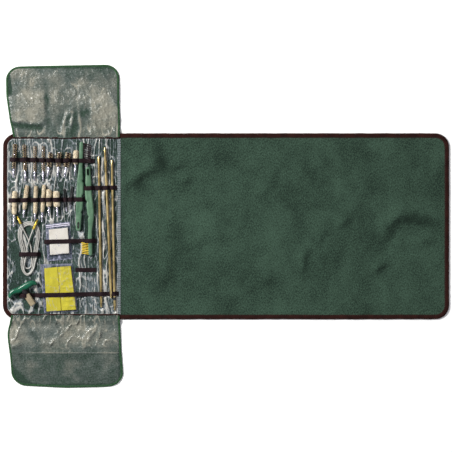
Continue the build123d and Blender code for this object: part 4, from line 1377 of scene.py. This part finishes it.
def utility_brush(number, bristle_node, tuft_side, head_up, fibre, row, count, length, seed, bow):
    """A moulded handle with a hang slot, and two rows of tufts on its head."""
    label = f"utility_brush_{number}"
    line = lines[f"{label}_handle"]
    if not head_up:
        line = Axis(line.top, line.end)
    side = 1 if (line.side[0] > 0) == (tuft_side > 0) else -1
    handle = piece(f"{label}_moulding", handle_shape(line, side, bow), [green_moulded], None,
                   f"{label}_handle", 50)
    tool = piece(f"{label}_cutter", hang_slot(line), [green_moulded], None)
    for made in (handle, tool):
        bpy.context.view_layer.objects.active = made
        bpy.ops.object.mode_set(mode="EDIT")
        bpy.ops.mesh.select_all(action="SELECT")
        bpy.ops.mesh.normals_make_consistent(inside=False)
        bpy.ops.object.mode_set(mode="OBJECT")
    cut = handle.modifiers.new("slot", "BOOLEAN")
    cut.operation = "DIFFERENCE"
    cut.solver = "EXACT"
    cut.object = tool
    bpy.context.view_layer.update()
    mesh = bpy.data.meshes.new_from_object(handle.evaluated_get(bpy.context.evaluated_depsgraph_get()))
    handle.modifiers.clear()
    handle.data = mesh
    mesh.set_sharp_from_angle(angle=math.radians(42))
    bpy.data.objects.remove(tool)
    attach(handle, label)

    random = np.random.default_rng(seed)
    shape = Shape()
    first = line.length - 1.5 - row
    pitch = row / count
    for level in (-1.45, 1.45):
        for n in range(count):
            spread = random.normal(0, 0.32, (TUFT, 2))
            at = first + pitch * (n + 0.5)
            root = line.at(at + spread[:, 0] * 0.8, side * 3.2, level + spread[:, 1] * 0.8)
            flare = random.normal(0, 0.24, (TUFT, 2)) + spread * 1.1
            reach = side * (3.9 + length * random.uniform(0.94, 1.02, TUFT))
            tip = line.at(at + flare[:, 0] - 2.6, reach, np.clip(level + flare[:, 1], -3.3, 3.3))
            spikes(shape, root, tip, 0.24, 0.2)
    piece(f"{bristle_node}_tufts", shape, [fibre], label, bristle_node)


utility_brush(1, "utility_brush_1_nylon_bristles", 1, True, nylon_fibre, 38, 9, 15.6, 141, 0)
utility_brush(2, "utility_brush_2_brass_bristles", -1, False, brass_fibre, 23.5, 7, 13.6,
              142, -3.2)

# ------------------------------------------------------------------ T-handle
# Rows of (x and y from the grip's lowest corner, half width)
GRIP = np.array([(3.6, 0.8, 3.2), (3.6, 5.2, 3.9), (6.2, 10.6, 4.6), (12.5, 14.6, 5.4), (22.5, 16.6, 6.3),
                 (32.4, 22.6, 6.9), (41.2, 28.0, 6.4), (48.4, 31.2, 5.0), (53.8, 30.8, 3.9),
                 (56.8, 27.2, 3.2)])
GRIP_ROWS, GRIP_RING, GRIP_TALL = 90, 30, 6.0
GRIP_MIDDLE = FLOOR + 6.2


def grip_shape():
    """The curved cross bar, with the moulding line that runs round its middle."""
    low = points("handle_grip").min(0)[:2]
    u = np.linspace(0, len(GRIP) - 1, GRIP_ROWS)
    x, y, w = (soften(np.interp(u, np.arange(len(GRIP)), GRIP[:, k]), 14) for k in range(3))
    ends = np.sqrt(np.clip(1 - np.abs(np.linspace(-1, 1, GRIP_ROWS)) ** 14, 0.05, 1))
    path = at_height(np.stack([low[0] + x, low[1] + y], -1), GRIP_MIDDLE)
    side = np.cross(unit(np.gradient(path, axis=0)), UP)
    cos, sin = squarish(GRIP_RING, 0.8)
    wide, tall = (w * ends)[:, None], (GRIP_TALL * ends * (0.9 + 0.1 * w / 7))[:, None]
    shape = Shape()
    shape.add(path[:, None] + side[:, None] * (wide * cos)[..., None] + UP * (tall * sin)[..., None],
              tube_faces(GRIP_ROWS, GRIP_RING))
    rib = side * (wide + 0.02)
    swept(shape, np.concatenate([path + rib, (path - rib)[::-1]]), circle(0.22, 6), 0, UP, loop=True)
    return shape


def collar_shape():
    """The ribbed collar on the stem between the cross bar and the socket."""
    block = points("handle_socket")
    middle, stem = (block.min(0) + block.max(0)) / 2, unit(np.array([0.55, -0.84, 0.0]))
    rows = [(0.0, 5.0)]
    for at in 1.0 + 2.8 * np.arange(5):
        rows += [(at, 5.3), (at + 0.5, 6.1), (at + 1.7, 6.1), (at + 2.2, 5.3)]
    shape = Shape()
    lathe(shape, Axis(middle - stem * 27.5, middle - stem * 11.5), rows + [(15.4, 5.6), (15.9, 5.0)], 0, 36)
    return shape


piece("handle_grip_moulding", grip_shape(), [green_gloss], "t_handle", "handle_grip")
piece("handle_collar_ribs", collar_shape(), [black_moulded], "t_handle", "handle_collar")
# The socket keeps its CAD shape
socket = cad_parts["handle_socket"]
socket.data.materials.clear()
socket.data.materials.append(brass_dull)


# ------------------------------------------------------------------ bags, patches and cloth
def quad_point(quad, u, v):
    """A point of a four-sided outline: u from 0 at its left to 1, v from 0 at its top to 1."""
    u, v = np.asarray(u)[..., None], np.asarray(v)[..., None]
    top = quad[0] + (quad[1] - quad[0]) * u
    low = quad[3] + (quad[2] - quad[3]) * u
    return top + (low - top) * v


def sheet_grid(quad, columns, rows):
    """u, v, x and y over a four-sided outline."""
    u, v = np.meshgrid(np.linspace(0, 1, columns), np.linspace(0, 1, rows))
    return u, v, *np.moveaxis(quad_point(quad, u, v), -1, 0)


zip_track = plain_paint("zip_track", srgb(196, 192, 214), srgb(240, 236, 250), 0.25)
BAG_RIM = 4.0


def bag_piece(node, inner, top, seed, zip_rows=()):
    """A clear bag: its back, and a front that drops to a welded rim round what it holds."""
    quad = corners(node)
    u, v, x, y = sheet_grid(quad, 111, 91)
    away = gap_to_quad(corners(inner), x, y)
    drop = fall(away, -0.5, 4.5)
    crinkle = 0.5 * ridged(x / 9 + 0.3 * noise(x / 12, y / 12, seed), y / 15, seed, 3) ** 2
    edge = np.minimum(np.minimum(u, 1 - u) * 52, np.minimum(v, 1 - v) * 78)
    height = BAG_RIM + 0.25 + (top - BAG_RIM) * drop + crinkle * step(edge, 0.5, 4) * (0.6 + 0.6 * (1 - drop))
    bead = hill(edge, 0.9, 0.8)
    # Milky film with painted highlight on its crinkles, fainter over what it holds, milkier on the welded
    # bead, the rim and just round what it holds
    tone_and_painted_light = 0.03 + 0.6 * step(ridged(x / 8, y / 13, seed + 4, 3), 0.5, 0.9) * (1 - 0.5 * drop)
    tone_and_painted_light = tone_and_painted_light + 0.22 * bead + 0.12 * (1 - drop) + 0.12 * hill(away, 1.5, 1.1)
    shape = Shape()
    shape.add(np.stack([x, y, height + 0.3 * bead], -1), grid_faces(*x.shape), tone_and_painted_light=tone_and_painted_light)
    shape.add(np.stack([x, y, 0 * x + FLOOR + 0.05], -1), grid_faces(*x.shape), tone_and_painted_light=0 * tone_and_painted_light + 0.1)
    t = np.linspace(0, 1, 30)[:, None]
    ring = np.concatenate([a + (b - a) * t[:-1] for a, b in zip(quad, np.roll(quad, -1, 0))])
    swept(shape, at_height(ring, FLOOR + 0.35), circle(0.3, 6), loop=True)
    for row in zip_rows:
        a, b = quad_point(quad, 0.01, row), quad_point(quad, 0.99, row)
        swept(shape, at_height(a + (b - a) * t, BAG_RIM + 0.55),
              [(0.75, -0.4), (0.7, 0.25), (0.3, 0.5), (-0.3, 0.5), (-0.7, 0.25), (-0.75, -0.4)], 1)
    piece(f"{node}_film", shape, [bag_clear, zip_track], node, node, 50)


def layer(shape, quad, low, thick, seed):
    """One layer of cloth, closed all round, with soft edges."""
    u, v, x, y = sheet_grid(quad, 34, 34)
    size = np.linalg.norm(quad[1] - quad[0]), np.linalg.norm(quad[3] - quad[0])
    edge = np.minimum(np.minimum(u, 1 - u) * size[0], np.minimum(v, 1 - v) * size[1])
    wave = 0.12 * fbm(x / 9, y / 9, seed, 3)
    roll = fall(edge, 0, 1.2)
    wobble = 0.25 * noise(x / 7, y / 7, seed + 5) * roll
    heights = low + thick + wave - 0.42 * thick * roll, low + wave + 0.42 * thick * roll
    shape.add([np.stack([x + wobble, y + wobble, z], -1) for z in heights], slab_faces(*x.shape))


bag_piece("patch_bag", "cleaning_patches", 8.45, 201, (0.04, 0.085))
PATCHES, PATCH_THICK = 5, 0.72
patch_quad = corners("cleaning_patches")
random = np.random.default_rng(9)
for name, v0, v1 in (("upper", 0.005, 0.478), ("lower", 0.522, 0.995)):
    stack = Shape()
    quad = quad_point(patch_quad, [0.01, 0.99, 0.99, 0.01], [v0, v0, v1, v1])
    for n in range(PATCHES):
        moved = quad + random.normal(0, 0.22, 2) + random.normal(0, 0.15, (4, 2))
        layer(stack, moved, 4.25 + n * 0.8, PATCH_THICK, 210 + n)
    patches = piece(f"patch_stack_{name}", stack, [cotton], "patch_bag", "cleaning_patches")


HALF_CLOTH = 56
CLOTH_GAP = 0.012
CLOTH_TOP = 8.8


def ply_path(inset, low, high):
    """(u, z) along one gate-folded ply: in from the gap, under, and back to the gap."""
    mid, half = (low + high) / 2, (high - low) / 2
    left, right = 0.006 + inset, 0.994 - inset
    bend = half / HALF_CLOTH
    turn = np.linspace(-PI / 2, PI / 2, 9)
    return np.concatenate([np.stack(np.broadcast_arrays(u, z), -1) for u, z in (
        (np.linspace(0.5 - CLOTH_GAP, left + bend, 22), high),
        (left + bend - bend * np.cos(turn), mid - half * np.sin(turn)),
        (np.linspace(left + bend, right - bend, 40), low),
        (right - bend + bend * np.cos(turn), mid + half * np.sin(turn)),
        (np.linspace(right - bend, 0.5 + CLOTH_GAP, 22), high))])


def folded_flannel():
    """Two gate-folded plies: each runs across the bottom and turns in over both edges to a gap."""
    quad = corners("folded_cloth")
    shape = Shape()
    v = np.linspace(0.004, 0.996, 60)
    for inset, low, high in ((0.0, 4.65, 7.45), (0.016, 5.6, 6.5)):
        path = ply_path(inset, low, high)
        way = unit(np.gradient(path * (HALF_CLOTH, 1), axis=0))
        across = np.stack([-way[:, 1] / HALF_CLOTH, way[:, 0]], -1) * 0.42
        sides = []
        for u, z in ((path + across).T, (path - across).T):
            gu, gv = np.meshgrid(u, v)
            x, y = np.moveaxis(quad_point(quad, gu, gv), -1, 0)
            upper = step(z, 6, 7.3)[None, :]
            wave = 1.1 * fbm(x / 11, y / 26, 31, 2)
            wave = wave + 1.7 * (ridged(x / 19, y / 9, 37, 2) - 0.5) * step(gu, 0.5, 0.6)
            crown = 0.3 * np.sin(np.clip(gu * 2 % 1.0, 0, 1) * PI) * np.sin(gv * PI) ** 0.4
            rise = upper * (wave + crown - 0.9 * hill(y, -134.5, 7))
            sides.append(np.stack([x, y, np.minimum(z[None, :] + rise, CLOTH_TOP)], -1))
        n, m = len(v), len(path)
        faces = tube_faces(n, 2 * m)[:-2]
        for base in (0, (n - 1) * 2 * m):
            last = base + 2 * m - 1
            faces += [[base + j, base + j + 1, last - 1 - j, last - j] for j in range(m - 1)]
        shape.add(np.concatenate([sides[0], sides[1][:, ::-1]], 1), faces)
    return shape


cloth = piece("folded_flannel", folded_flannel(), [flannel], "cloth_bag", "folded_cloth", 60)
bag_piece("cloth_bag", "folded_cloth", 9.0, 301)
